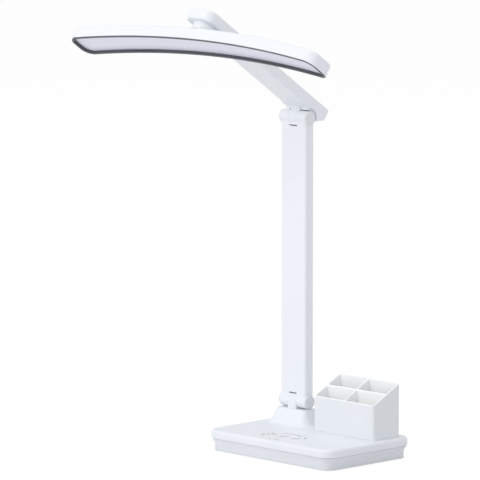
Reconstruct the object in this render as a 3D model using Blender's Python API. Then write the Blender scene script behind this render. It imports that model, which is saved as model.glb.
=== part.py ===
"""Desk lamp with a pen holder: a weighted base, two folding arms and a swivelling LED head.

Lengths are in metres and angles in degrees. The origin lies on the table, under the middle of
the base; X runs along the base to the right, Y to the back and Z up. Each sub-part has its own
section of sizes below and its own function further down.
"""
from math import asin, cos, pi, radians, sin, sqrt, tan

import bmesh
import bpy
from mathutils import Matrix, Vector

# Fits that many pieces share
GAP = 0.0003
OVERRUN = 0.001
SAME_PLACE = 0.00001
SMOOTH_ANGLE = 35.0

# Facets of round shapes
PIN_SIDES = 12
DISC_SIDES = 32
CORNER_STEPS = 5
EDGE_STEPS = 2

# Base: a top shell over a tapered tray
PLATE_WIDTH = 0.200
PLATE_DEPTH = 0.137
PLATE_CORNER = 0.017
PLATE_EDGE = 0.0035
BASE_HEIGHT = 0.0247
TOP_WALL = 0.003
SIDE_WALL = 0.0024
SEAM_HEIGHT = 0.0152
TRAY_STEP = 0.0007
TRAY_INSET = 0.0034
TAPER_START = 0.0145
TAPER_END = 0.009
TRAY_BOTTOM = 0.0006
TRAY_FLOOR = 0.0024

# Anti-slip pad and the screws that close the base
PAD_MARGIN_X = 0.020
PAD_MARGIN_Y = 0.0115
PAD_WIDTH = PLATE_WIDTH - 2 * PAD_MARGIN_X
PAD_DEPTH = PLATE_DEPTH - 2 * PAD_MARGIN_Y
PAD_CORNER = 0.008
PAD_RECESS = 0.0008
POST_RADIUS = 0.0034
POST_MARGIN_X = 0.014
POST_MARGIN_Y = 0.0145
CLOSING_SCREW_RADIUS = 0.0012
CLOSING_HEAD_RADIUS = 0.0026
CLOSING_HEAD_HEIGHT = 0.001
CLOSING_SCREW_TIP = 0.0145
COUNTERBORE_DEPTH = 0.0013

# Ballast and the steel core that carries the lower hinge
BALLAST_MARGIN_X = 0.022
BALLAST_MARGIN_Y = 0.0195
BALLAST_WIDTH = PLATE_WIDTH - 2 * BALLAST_MARGIN_X
BALLAST_DEPTH = PLATE_DEPTH - 2 * BALLAST_MARGIN_Y
BALLAST_THICKNESS = 0.0065
BALLAST_CORNER = 0.004
CORE_FLANGE_WIDTH = 0.040
CORE_FLANGE_DEPTH = 0.024
CORE_FLANGE_THICKNESS = 0.003
CORE_BLOCK_WIDTH = 0.016
CORE_TONGUE_WIDTH = 0.0062
CORE_DEPTH = 0.0104
CORE_SHOULDER = 0.037
CORE_TOP_MARGIN = 0.0033
CORE_SCREW_RADIUS = 0.0015
CORE_SCREW_HEAD_RADIUS = 0.0028
CORE_SCREW_HEAD_HEIGHT = 0.0018
CORE_SCREW_TIP = 0.006
CORE_SCREW_EDGE = 0.0045

# Hinges: the axes lie along X, and both hinges are alike
HINGE_FROM_LEFT = 0.0463
HINGE_FROM_BACK = 0.0354
LOWER_HINGE_X = HINGE_FROM_LEFT - PLATE_WIDTH / 2
LOWER_HINGE_Y = PLATE_DEPTH / 2 - HINGE_FROM_BACK
LOWER_HINGE_Z = 0.0517
BARREL_RADIUS = 0.008
BARREL_SHY = 0.0002
LUG_WIDTH = 0.013
LUG_OVERSHOOT = 0.001
LUG_SLIT = 0.002
UPPER_LUG_RADIUS = 0.0073
WASHER_THICKNESS = 0.0005
WASHER_RADIUS = 0.0065
BOLT_RADIUS = 0.0028
BOLT_HEAD_RADIUS = 0.0052
BOLT_HEAD_HEIGHT = 0.0034
CAP_SEAT_RADIUS = 0.0058
CAP_SEAT_DEPTH = 0.005
CAP_THICKNESS = 0.0016
CAP_SPIGOT = 0.0013
CAP_EDGE = 0.0008

# Neck moulded on the top shell
NECK_HALF_WIDTH = 0.0365
NECK_HALF_DEPTH = 0.0240
NECK_CORNER = 0.0180
NECK_SUNK = 0.001
NECK_GAP = 0.0013
NECK_RISE_SHARES = (0.03, 0.11, 0.24, 0.47, 0.78, 1.0)
NECK_INSET_SHARES = (0.14, 0.31, 0.45, 0.637, 0.85, 1.0)
NECK_INSET = 0.0135
NECK_POCKET_WIDTH = 0.032
NECK_POCKET_TOP = 0.0376

# Touch control, its circuit board and the indicator
TOUCH_X = -0.004
TOUCH_FROM_FRONT = 0.0315
TOUCH_Y = TOUCH_FROM_FRONT - PLATE_DEPTH / 2
TOUCH_RADIUS = 0.025
TOUCH_THICKNESS = 0.0011
BOARD_X = 0.019
BOARD_FROM_FRONT = 0.0365
BOARD_Y = BOARD_FROM_FRONT - PLATE_DEPTH / 2
BOARD_MARGIN_X = 0.037
BOARD_WIDTH = PLATE_WIDTH - 2 * BOARD_MARGIN_X
BOARD_DEPTH = 0.054
BOARD_THICKNESS = 0.0016
BOARD_TOP = 0.0186
BOARD_CORNER = 0.002
BOARD_POST_RADIUS = 0.0026
BOARD_POST_EDGE = 0.004
BOARD_SCREW_RADIUS = 0.0008
BOARD_SCREW_HEAD_RADIUS = 0.002
BOARD_SCREW_HEAD_HEIGHT = 0.0012
BOARD_SCREW_REACH = 0.0042
SENSOR_SIZE = 0.024
CHIP_SIZE = 0.008
CHIP_HEIGHT = 0.0014
CHIP_X = -0.012
INDICATOR_FROM_RIGHT = 0.028
INDICATOR_FROM_BOARD = 0.024
INDICATOR_X = PLATE_WIDTH / 2 - INDICATOR_FROM_RIGHT
INDICATOR_Y = BOARD_Y + INDICATOR_FROM_BOARD
INDICATOR_RADIUS = 0.0011
INDICATOR_FLANGE = 0.0022
INDICATOR_FLANGE_HEIGHT = 0.001
INDICATOR_LED_SIZE = 0.002
INDICATOR_LED_HEIGHT = 0.0008

# Power socket in the back of the tray
SOCKET_FRONT_DEPTH = 0.018
SOCKET_SHOULDER_DEPTH = 0.0082
SOCKET_NOSE_DEPTH = 0.0033
SOCKET_X = 0.020
SOCKET_Z = 0.0090
SOCKET_WIDTH = 0.0092
SOCKET_HEIGHT = 0.0094
SOCKET_FRONT = PLATE_DEPTH / 2 - SOCKET_FRONT_DEPTH
SOCKET_SHOULDER = PLATE_DEPTH / 2 - SOCKET_SHOULDER_DEPTH
SOCKET_NOSE = PLATE_DEPTH / 2 - SOCKET_NOSE_DEPTH
SOCKET_NOSE_RADIUS = 0.0039
SOCKET_BORE_RADIUS = 0.0031
SOCKET_BORE_DEPTH = 0.010

# Lead inside the base, from the board up into the neck
LEAD_RADIUS = 0.0013
LEAD_STARTS_RIGHT = 0.0337
LEAD_STARTS_FRONT = 0.0364
LEAD_START_Z = 0.0178
LEAD_MIDDLE_RIGHT = 0.0227
LEAD_MIDDLE_FRONT = 0.0256
LEAD_RISES_RIGHT = 0.012
LEAD_BEND_FRONT = 0.0121
LEAD_LOW_Z = 0.0178
LEAD_TURN_Z = 0.0195
LEAD_TOP_Z = 0.0362

# Pen holder with four wells
HOLDER_FROM_NECK = 0.01155
HOLDER_FROM_RIGHT = 0.00895
HOLDER_FROM_BACK = 0.0342
HOLDER_LEFT = LOWER_HINGE_X + NECK_HALF_WIDTH + HOLDER_FROM_NECK
HOLDER_RIGHT = PLATE_WIDTH / 2 - HOLDER_FROM_RIGHT
HOLDER_X = (HOLDER_LEFT + HOLDER_RIGHT) / 2
HOLDER_Y = PLATE_DEPTH / 2 - HOLDER_FROM_BACK
HOLDER_WIDTH = HOLDER_RIGHT - HOLDER_LEFT
HOLDER_DEPTH = 0.0435
HOLDER_FRONT_HEIGHT = 0.0399
HOLDER_BACK_HEIGHT = 0.0623
HOLDER_CORNER = 0.0040
HOLDER_WALL = 0.002
HOLDER_DIVIDER = 0.0017
HOLDER_FLOOR = 0.004
HOLDER_WELL_CORNER = 0.0012
HOLDER_SCREW_MARGIN = 0.01735
HOLDER_SCREW_RADIUS = 0.0013
HOLDER_SCREW_HEAD_RADIUS = 0.0028
HOLDER_SCREW_HEAD_HEIGHT = 0.0015
HOLDER_SCREW_BITE = 0.0028

# Lower arm: a channel shell with a cover in its back
LOWER_ARM_LENGTH = 0.329
ARM_WIDTH = 0.0406
ARM_THICKNESS = 0.0129
ARM_EDGE = 0.003
ARM_BACK_EDGE = 0.001
ARM_WALL = 0.0022
COVER_LEDGE = 0.001
COVER_THICKNESS = 0.0019
COVER_CORNER = 0.003
CAVITY_MARGIN = 0.022
COVER_POST_RADIUS = 0.0025
COVER_SCREW_RADIUS = 0.0009
COVER_SCREW_HEAD_RADIUS = 0.0018
COVER_SCREW_HEAD_HEIGHT = 0.0007
COVER_SCREW_FOOT = 0.0022
LOWER_COVER_SCREW_INSET = 0.018
SPINE_WIDTH = 0.012
SPINE_THICKNESS = 0.0016
SPINE_X = -0.009
SPINE_MARGIN = 0.002
ARM_LEAD_RADIUS = 0.0015
ARM_LEAD_X = 0.008

# Upper arm: it rises towards the front and ends over the head with round corners
ARM_RISE = 34.5
UPPER_ARM_LENGTH = 0.18257
UPPER_ARM_LIFT = 0.01082
HEEL_BACK = 0.02183
HEEL_TOE = 0.00893
HEEL_BOTTOM = 0.00082
NOSE_START = 0.01457
NOSE_DROP = 0.0008
POCKET_RADIUS = 0.0114
ARM_FRONT_CORNER = 0.013
UPPER_EDGE = 0.002
COVER_BACK = 0.003
CAVITY_BACK = 0.006
UPPER_SPINE_END = 0.032
UPPER_LEAD_END = 0.024
UPPER_SCREW_BACK = -0.012
UPPER_SCREW_FROM_DISC = 0.042

# Swivel between the upper arm and the head
SPINDLE_RADIUS = 0.0035
SPINDLE_PLAY = 0.0004
SPINDLE_TOP = 0.0085
SPINDLE_FLANGE_RADIUS = 0.008
SPINDLE_FLANGE_THICKNESS = 0.0015
SWIVEL_WASHER_RADIUS = 0.009
SWIVEL_WASHER_THICKNESS = 0.0008
SWIVEL_NUT_RADIUS = 0.0068
SWIVEL_NUT_HEIGHT = 0.004
COLLAR_RADIUS = 0.0145
HEX_SIDES = 6

# Head: an arched housing over a dark frame, a diffuser and the LED board
HEAD_OFFSET_X = 0.004
HEAD_OFFSET_Y = 0.003
HEAD_DROP = 0.00955
HEAD_LENGTH = 0.3952
HEAD_WIDTH = 0.0383
HEAD_CORNER = 0.0135
HEAD_SHELL_HEIGHT = 0.01445
HEAD_SAG = 0.0143
HEAD_STATIONS = 12
HEAD_WALL = 0.0018
HEAD_TOP_WALL = 0.002
HEAD_EDGE = 0.0028
FRAME_LIP = 0.0008
FRAME_WALL = 0.0009
RECESS_DEPTH = 0.0035
DIFFUSER_THICKNESS = 0.0018
LED_BOARD_THICKNESS = 0.0012
LED_BOARD_MARGIN_X = 0.0076
LED_BOARD_MARGIN_Y = 0.0046
LED_BOARD_TOP = 0.0140
LED_SIZE = 0.003
LED_HEIGHT = 0.0007
LED_END_MARGIN = 0.0286
LED_ROW_Y = 0.006
LEDS_PER_ROW = 14
LED_SUNK = 0.0006
HEAD_POST_RADIUS = 0.004
HEAD_POST_MARGIN = 0.0876
HEAD_POST_GAP = 0.0007
HEAD_SCREW_RADIUS = 0.0009
HEAD_SCREW_HEAD_RADIUS = 0.002
HEAD_SCREW_HEAD_HEIGHT = 0.0008
HEAD_SCREW_BITE = 0.0015

# Finishes: colour, roughness and metallic value
FINISHES = {
    "white_shell": ((0.86, 0.88, 0.91), 0.38, 0.0),
    "white_arm": ((0.84, 0.86, 0.89), 0.36, 0.0),
    "white_holder": ((0.83, 0.85, 0.87), 0.42, 0.0),
    "pale_disc": ((0.80, 0.82, 0.86), 0.30, 0.0),
    "dark_frame": ((0.10, 0.10, 0.12), 0.45, 0.0),
    "opal_diffuser": ((0.72, 0.73, 0.80), 0.35, 0.0),
    "grey_cap": ((0.45, 0.47, 0.50), 0.35, 0.0),
    "steel": ((0.55, 0.55, 0.56), 0.35, 1.0),
    "cast_ballast": ((0.18, 0.18, 0.18), 0.65, 1.0),
    "circuit_board": ((0.03, 0.22, 0.09), 0.50, 0.0),
    "led_board": ((0.85, 0.85, 0.83), 0.50, 0.0),
    "led": ((0.93, 0.80, 0.35), 0.35, 0.0),
    "chip": ((0.03, 0.03, 0.03), 0.50, 0.0),
    "rubber": ((0.06, 0.06, 0.06), 0.85, 0.0),
    "foam": ((0.14, 0.14, 0.15), 0.95, 0.0),
    "lead": ((0.62, 0.62, 0.63), 0.55, 0.0),
    "nylon": ((0.72, 0.72, 0.70), 0.50, 0.0),
}

ORIGIN = Vector((0, 0, 0))
UP = Vector((0, 0, 1))


def clear_scene():
    """Remove whatever the file holds, so that only the lamp is left."""
    for thing in list(bpy.data.objects):
        bpy.data.objects.remove(thing, do_unlink=True)


def make_collection(name):
    """Add a collection to the scene."""
    collection = bpy.data.collections.new(name)
    bpy.context.scene.collection.children.link(collection)
    return collection


def make_finish(name):
    """Build the material of one finish."""
    colour, roughness, metallic = FINISHES[name]
    finish = bpy.data.materials.new(name)
    finish.use_nodes = True
    shader = finish.node_tree.nodes["Principled BSDF"]
    shader.inputs["Base Color"].default_value = (*colour, 1)
    shader.inputs["Roughness"].default_value = roughness
    shader.inputs["Metallic"].default_value = metallic
    finish.diffuse_color = (*colour, 1)
    return finish


def moved(shape, offset):
    """Shift a shape and give it back."""
    bmesh.ops.translate(shape, vec=offset, verts=shape.verts)
    return shape


def turned(shape, degrees, axis):
    """Turn a shape about the origin and give it back."""
    bmesh.ops.rotate(shape, cent=ORIGIN, matrix=Matrix.Rotation(radians(degrees), 3, axis),
                     verts=shape.verts)
    return shape


def upright(shape):
    """Leave an upright shape as it stands."""
    return shape


def along_x(shape):
    """Lay an upright shape along X, its top to the right."""
    return turned(shape, 90, "Y")


def along_y(shape):
    """Lay an upright shape along Y, its top to the back."""
    return turned(shape, -90, "X")


def box(width, depth, low, high):
    """Upright box centred on the Z axis between two heights."""
    shape = bmesh.new()
    bmesh.ops.create_cube(shape, size=1)
    bmesh.ops.scale(shape, vec=(width, depth, high - low), verts=shape.verts)
    return moved(shape, (0, 0, (low + high) / 2))


def rounded_box(width, depth, low, high, corner, steps=CORNER_STEPS):
    """Upright box whose four standing edges are rounded."""
    shape = box(width, depth, low, high)
    standing = [edge for edge in shape.edges
                if abs(edge.verts[0].co.z - edge.verts[1].co.z) > SAME_PLACE]
    bmesh.ops.bevel(shape, geom=standing, offset=corner, segments=steps, profile=0.5,
                    affect="EDGES", material=-1)
    return shape


def soften(shape, height, radius, steps=EDGE_STEPS):
    """Round the outline of a shape at one height."""
    outline = [edge for edge in shape.edges
               if all(abs(vert.co.z - height) < SAME_PLACE for vert in edge.verts)]
    bmesh.ops.bevel(shape, geom=outline, offset=radius, segments=steps, profile=0.5,
                    affect="EDGES", material=-1)
    return shape


def end_face(shape, sign):
    """The highest face of a shape, or its lowest one for a negative sign."""
    return max(shape.faces, key=lambda face: sign * face.calc_center_median().z)


def step_out(shape, sign, inset, rise):
    """Draw a tapering step out of the top or bottom face: in by inset, along by rise."""
    face = end_face(shape, sign)
    bmesh.ops.inset_region(shape, faces=[face], thickness=inset, use_even_offset=True)
    bmesh.ops.translate(shape, vec=(0, 0, sign * rise), verts=face.verts)
    return shape


def pulled(shape, face, offset):
    """Extrude one face by an offset and give back its new corners."""
    grown = bmesh.ops.extrude_face_region(shape, geom=[face, *face.edges])
    fresh = [item for item in grown["geom"] if isinstance(item, bmesh.types.BMVert)]
    bmesh.ops.translate(shape, vec=offset, verts=fresh)
    return fresh


def extend(shape, sign, length):
    """Lengthen a shape straight out of its top or bottom face."""
    pulled(shape, end_face(shape, sign), (0, 0, sign * length))
    return shape


def rod(radius, low, high, sides=PIN_SIDES):
    """Upright round rod between two heights."""
    shape = bmesh.new()
    bmesh.ops.create_cone(shape, cap_ends=True, segments=sides, radius1=radius, radius2=radius,
                          depth=high - low)
    return moved(shape, (0, 0, (low + high) / 2))


def stepped_rod(low, steps, sides=PIN_SIDES):
    """Upright rod of several diameters, from (radius, upper end) pairs."""
    radius, level = steps[0]
    shape = rod(radius, low, level, sides)
    for next_radius, next_level in steps[1:]:
        fresh = pulled(shape, end_face(shape, 1), ORIGIN)
        ratio = next_radius / radius
        bmesh.ops.scale(shape, vec=(ratio, ratio, 1), verts=fresh)
        cap = [face for face in fresh[0].link_faces if len(face.verts) == sides]
        pulled(shape, cap[0], (0, 0, next_level - level))
        radius, level = next_radius, next_level
    return shape


def ring(outer, inner, low, high, sides=PIN_SIDES):
    """Flat ring about the Z axis, spun from its section."""
    shape = bmesh.new()
    section = [shape.verts.new((radius, 0, height)) for radius, height in
               ((outer, low), (outer, high), (inner, high), (inner, low))]
    edges = [shape.edges.new((section[i - 1], section[i])) for i in range(len(section))]
    bmesh.ops.spin(shape, geom=section + edges, cent=ORIGIN, axis=UP, angle=2 * pi, steps=sides,
                   use_merge=True)
    return shape


def hex_nut(radius, bore, low, high):
    """Six-sided nut about the Z axis; its bore has as many facets as a pin."""
    return rod(radius, low, high, HEX_SIDES), rod(bore, low - OVERRUN, high + OVERRUN)


def tongue(radius, reach, width):
    """Plate across X with a round top about the origin and flat flanks down to -reach."""
    shape = along_x(rod(radius, -width / 2, width / 2, DISC_SIDES))
    everything = shape.verts[:] + shape.edges[:] + shape.faces[:]
    cut = bmesh.ops.bisect_plane(shape, geom=everything, plane_co=ORIGIN, plane_no=UP,
                                 clear_inner=True, dist=SAME_PLACE)
    rim = [item for item in cut["geom_cut"] if isinstance(item, bmesh.types.BMEdge)]
    bmesh.ops.contextual_create(shape, geom=rim)
    return extend(shape, -1, reach)


def gathered(shapes):
    """Put several separate shapes into one tool."""
    whole = bmesh.new()
    for shape in shapes:
        carrier = bpy.data.meshes.new("carrier")
        shape.to_mesh(carrier)
        shape.free()
        whole.from_mesh(carrier)
        bpy.data.meshes.remove(carrier)
    return whole


def four_corners(x, y, centre=(0, 0)):
    """The labelled corners of a rectangle about a centre, from its half sides."""
    cx, cy = centre
    return {
        "front_left": (cx - x, cy - y, 0), "front_right": (cx + x, cy - y, 0),
        "back_left": (cx - x, cy + y, 0), "back_right": (cx + x, cy + y, 0)}


class Builder:
    """Makes the lamp's objects and keeps the collections, finishes and carriers they need."""

    def __init__(self):
        self.parts = make_collection("desk_lamp_with_pen_holder")
        self.tools = make_collection("cutters")
        self.finishes = {name: make_finish(name) for name in FINISHES}

    def carrier(self, name, location, rise=0, parent=None):
        """An empty on a joint's axis, which the pieces of one moving body hang on."""
        empty = bpy.data.objects.new(name, None)
        self.parts.objects.link(empty)
        empty.parent = parent
        empty.location = location
        empty.rotation_euler = (radians(rise), 0, 0)
        return empty

    def part(self, name, shape, finish, parent=None):
        """A sub-part of the lamp, from a shape in its carrier's frame."""
        body = self.place(name, shape, parent)
        body.data.materials.append(self.finishes[finish])
        self.parts.objects.link(body)
        return body

    def copies(self, name, draw, places, finish, parent=None):
        """Copies of a small piece, each drawn at its labelled place."""
        for label, place in places.items():
            self.part(f"{label}_{name}", moved(draw(), place), finish, parent)

    def place(self, name, shape, parent):
        """Turn a shape into an object that hangs on a carrier."""
        bmesh.ops.recalc_face_normals(shape, faces=shape.faces)
        mesh = bpy.data.meshes.new(name)
        shape.to_mesh(mesh)
        shape.free()
        mesh.shade_smooth()
        mesh.set_sharp_from_angle(angle=radians(SMOOTH_ANGLE))
        body = bpy.data.objects.new(name, mesh)
        body.parent = parent
        return body

    def work(self, target, shape, operation):
        """Join a shape to a part, or cut it out of one, with a Boolean."""
        count = len(target.modifiers) + 1
        helper = self.place(f"{target.name}_{operation.lower()}_{count}", shape, target.parent)
        helper.hide_render = True
        helper.display_type = "WIRE"
        self.tools.objects.link(helper)
        boolean = target.modifiers.new(f"{operation.lower()}_{count}", "BOOLEAN")
        boolean.operation = operation
        boolean.solver = "EXACT"
        boolean.object = helper

    def join(self, target, *shapes):
        """Join shapes to a part."""
        for shape in shapes:
            self.work(target, shape, "UNION")

    def cut(self, target, *shapes):
        """Cut shapes out of a part."""
        for shape in shapes:
            self.work(target, shape, "DIFFERENCE")

    def lead(self, name, radius, route, parent=None):
        """A round lead along a route of points, as a curve with filled caps."""
        curve = bpy.data.curves.new(name, "CURVE")
        curve.dimensions = "3D"
        curve.bevel_depth = radius
        curve.bevel_resolution = 2
        curve.use_fill_caps = True
        spline = curve.splines.new("POLY")
        spline.points.add(len(route) - 1)
        for point, place in zip(spline.points, route):
            point.co = (*place, 1)
        curve.materials.append(self.finishes["lead"])
        body = bpy.data.objects.new(name, curve)
        body.parent = parent
        self.parts.objects.link(body)
        return body


def tray_form(shrink, low, high):
    """The tapered tray as a solid, drawn in by shrink all round."""
    width = PLATE_WIDTH - 2 * (TRAY_STEP + shrink)
    depth = PLATE_DEPTH - 2 * (TRAY_STEP + shrink)
    corner = PLATE_CORNER - TRAY_STEP - shrink
    shape = rounded_box(width, depth, TAPER_START, high, corner)
    step_out(shape, -1, TRAY_INSET, TAPER_START - TAPER_END)
    return extend(shape, -1, TAPER_END - low)


def floor_top():
    """Height of the inside of the tray's floor."""
    return TRAY_BOTTOM + TRAY_FLOOR


def ceiling():
    """Height of the underside of the top shell's plate."""
    return BASE_HEIGHT - TOP_WALL


def board_bottom():
    """Height of the control board's underside."""
    return BOARD_TOP - BOARD_THICKNESS


def board_fixings():
    """Where the control board is screwed to the top shell."""
    x = BOARD_WIDTH / 2 - BOARD_POST_EDGE
    return {"left": (BOARD_X - x, BOARD_Y, 0), "right": (BOARD_X + x, BOARD_Y, 0)}


def closing_fixings():
    """Where the screws close the base."""
    return four_corners(PLATE_WIDTH / 2 - POST_MARGIN_X, PLATE_DEPTH / 2 - POST_MARGIN_Y)


def holder_fixings():
    """Where the pen holder is screwed down."""
    return {"left": (HOLDER_LEFT + HOLDER_SCREW_MARGIN, HOLDER_Y, 0),
            "right": (HOLDER_RIGHT - HOLDER_SCREW_MARGIN, HOLDER_Y, 0)}


def core_fixings():
    """Where the hinge core is screwed to the ballast."""
    x = CORE_FLANGE_WIDTH / 2 - CORE_SCREW_EDGE
    return {"left": (LOWER_HINGE_X - x, LOWER_HINGE_Y, 0),
            "right": (LOWER_HINGE_X + x, LOWER_HINGE_Y, 0)}


def build_tray(make):
    """Lower half of the base, its anti-slip pad and the screws that close it."""
    tray = make.part("base_tray", tray_form(0, TRAY_BOTTOM, SEAM_HEIGHT - GAP), "white_shell")
    make.cut(tray, tray_form(SIDE_WALL, floor_top(), SEAM_HEIGHT + OVERRUN))
    clearance = CLOSING_SCREW_RADIUS + GAP
    seat = CLOSING_HEAD_RADIUS + GAP
    for place in closing_fixings().values():
        make.cut(tray, moved(stepped_rod(TRAY_BOTTOM - OVERRUN, [
            (seat, TRAY_BOTTOM + COUNTERBORE_DEPTH),
            (clearance, floor_top() + OVERRUN)]), place))
    recess = TRAY_BOTTOM + PAD_RECESS
    make.cut(tray, rounded_box(PAD_WIDTH + 2 * GAP, PAD_DEPTH + 2 * GAP, TRAY_BOTTOM - OVERRUN,
                               recess, PAD_CORNER + GAP))
    make.cut(tray, moved(along_y(rod(SOCKET_NOSE_RADIUS + GAP, SOCKET_FRONT, PLATE_DEPTH)),
                         (SOCKET_X, 0, SOCKET_Z)))
    make.part("anti_slip_pad", rounded_box(PAD_WIDTH, PAD_DEPTH, 0, recess - GAP, PAD_CORNER),
              "rubber")
    head_low = TRAY_BOTTOM + COUNTERBORE_DEPTH - GAP - CLOSING_HEAD_HEIGHT
    make.copies("base_screw", lambda: stepped_rod(head_low, [
        (CLOSING_HEAD_RADIUS, head_low + CLOSING_HEAD_HEIGHT),
        (CLOSING_SCREW_RADIUS, CLOSING_SCREW_TIP)]), closing_fixings(), "steel")


def neck_form():
    """The flared neck as a solid: its foot is sunk in the plate, its top stops under the barrel."""
    foot = BASE_HEIGHT - NECK_SUNK
    shape = rounded_box(2 * NECK_HALF_WIDTH, 2 * NECK_HALF_DEPTH, foot, BASE_HEIGHT, NECK_CORNER)
    height = LOWER_HINGE_Z - BARREL_RADIUS - NECK_GAP - BASE_HEIGHT
    rise_before, inset_before = 0, 0
    for rise, inset in zip(NECK_RISE_SHARES, NECK_INSET_SHARES):
        step_out(shape, 1, (inset - inset_before) * NECK_INSET, (rise - rise_before) * height)
        rise_before, inset_before = rise, inset
    return moved(shape, (LOWER_HINGE_X, LOWER_HINGE_Y, 0))


def lug_bore(width):
    """Cutter for the bolt's bore across X, about the origin."""
    return along_x(rod(BOLT_RADIUS + GAP, -width / 2 - OVERRUN, width / 2 + OVERRUN))


def build_top(make):
    """Upper half of the base with the neck and the lug of the lower hinge."""
    shape = rounded_box(PLATE_WIDTH, PLATE_DEPTH, SEAM_HEIGHT, BASE_HEIGHT, PLATE_CORNER)
    top = make.part("base_top", soften(shape, BASE_HEIGHT, PLATE_EDGE), "white_shell")
    hinge = Vector((LOWER_HINGE_X, LOWER_HINGE_Y, LOWER_HINGE_Z))
    lug_centre = hinge + Vector((0, 0, LUG_OVERSHOOT))
    lug_reach = lug_centre.z - BASE_HEIGHT
    make.join(top, neck_form(), moved(tongue(BARREL_RADIUS, lug_reach, LUG_WIDTH), lug_centre))
    make.cut(top, rounded_box(PLATE_WIDTH - 2 * SIDE_WALL, PLATE_DEPTH - 2 * SIDE_WALL,
                              SEAM_HEIGHT - OVERRUN, ceiling(), PLATE_CORNER - SIDE_WALL))
    pocket_depth = CORE_DEPTH + 2 * GAP
    make.cut(top, moved(box(NECK_POCKET_WIDTH, pocket_depth, ceiling() - OVERRUN,
                            NECK_POCKET_TOP), (hinge.x, hinge.y, 0)))
    make.cut(top, moved(box(CORE_TONGUE_WIDTH + 2 * GAP, pocket_depth,
                            NECK_POCKET_TOP - OVERRUN,
                            lug_centre.z + BARREL_RADIUS - CORE_TOP_MARGIN + GAP),
                        (hinge.x, hinge.y, 0)))
    make.cut(top, moved(lug_bore(LUG_WIDTH), hinge))
    touch_floor = BASE_HEIGHT - TOUCH_THICKNESS - GAP
    make.cut(top, moved(rod(TOUCH_RADIUS + GAP, touch_floor, BASE_HEIGHT + OVERRUN, DISC_SIDES),
                        (TOUCH_X, TOUCH_Y, 0)))
    make.cut(top, moved(rod(INDICATOR_RADIUS + GAP, ceiling() - OVERRUN, BASE_HEIGHT + OVERRUN),
                        (INDICATOR_X, INDICATOR_Y, 0)))
    for place in closing_fixings().values():
        make.join(top, moved(rod(POST_RADIUS, floor_top() + GAP, ceiling() + OVERRUN), place))
        make.cut(top, moved(rod(CLOSING_SCREW_RADIUS + GAP, floor_top(),
                                CLOSING_SCREW_TIP + GAP), place))
    for place in board_fixings().values():
        make.join(top, moved(rod(BOARD_POST_RADIUS, BOARD_TOP + GAP, ceiling() + OVERRUN), place))
        make.cut(top, moved(rod(BOARD_SCREW_RADIUS + GAP, BOARD_TOP,
                                board_bottom() + BOARD_SCREW_REACH + GAP), place))
    for place in holder_fixings().values():
        make.cut(top, moved(rod(HOLDER_SCREW_RADIUS + GAP, ceiling() - OVERRUN,
                                BASE_HEIGHT + OVERRUN), place))


def build_core(make):
    """Ballast plate, and the steel core that stands on it inside the neck."""
    ballast_low = floor_top() + GAP
    ballast_top = ballast_low + BALLAST_THICKNESS
    ballast = make.part("ballast_plate", rounded_box(
        BALLAST_WIDTH, BALLAST_DEPTH, ballast_low, ballast_top, BALLAST_CORNER), "cast_ballast")
    flange_low = ballast_top + GAP
    flange_top = flange_low + CORE_FLANGE_THICKNESS
    spot = (LOWER_HINGE_X, LOWER_HINGE_Y, 0)
    core = make.part("hinge_core", moved(box(
        CORE_FLANGE_WIDTH, CORE_FLANGE_DEPTH, flange_low, flange_top), spot), "steel")
    tongue_top = LOWER_HINGE_Z + LUG_OVERSHOOT + BARREL_RADIUS - CORE_TOP_MARGIN
    make.join(core,
              moved(box(CORE_BLOCK_WIDTH, CORE_DEPTH, flange_low, CORE_SHOULDER), spot),
              moved(box(CORE_TONGUE_WIDTH, CORE_DEPTH, flange_low, tongue_top), spot))
    make.cut(core, moved(lug_bore(CORE_TONGUE_WIDTH),
                         (LOWER_HINGE_X, LOWER_HINGE_Y, LOWER_HINGE_Z)))
    for place in core_fixings().values():
        hole = CORE_SCREW_RADIUS + GAP
        make.cut(core, moved(rod(hole, flange_low - OVERRUN, flange_top + OVERRUN), place))
        make.cut(ballast, moved(rod(hole, CORE_SCREW_TIP - GAP, ballast_top + OVERRUN), place))
    head_low = flange_top + GAP
    make.copies("core_screw", lambda: stepped_rod(CORE_SCREW_TIP, [
        (CORE_SCREW_RADIUS, head_low),
        (CORE_SCREW_HEAD_RADIUS, head_low + CORE_SCREW_HEAD_HEIGHT)]), core_fixings(), "steel")


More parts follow.
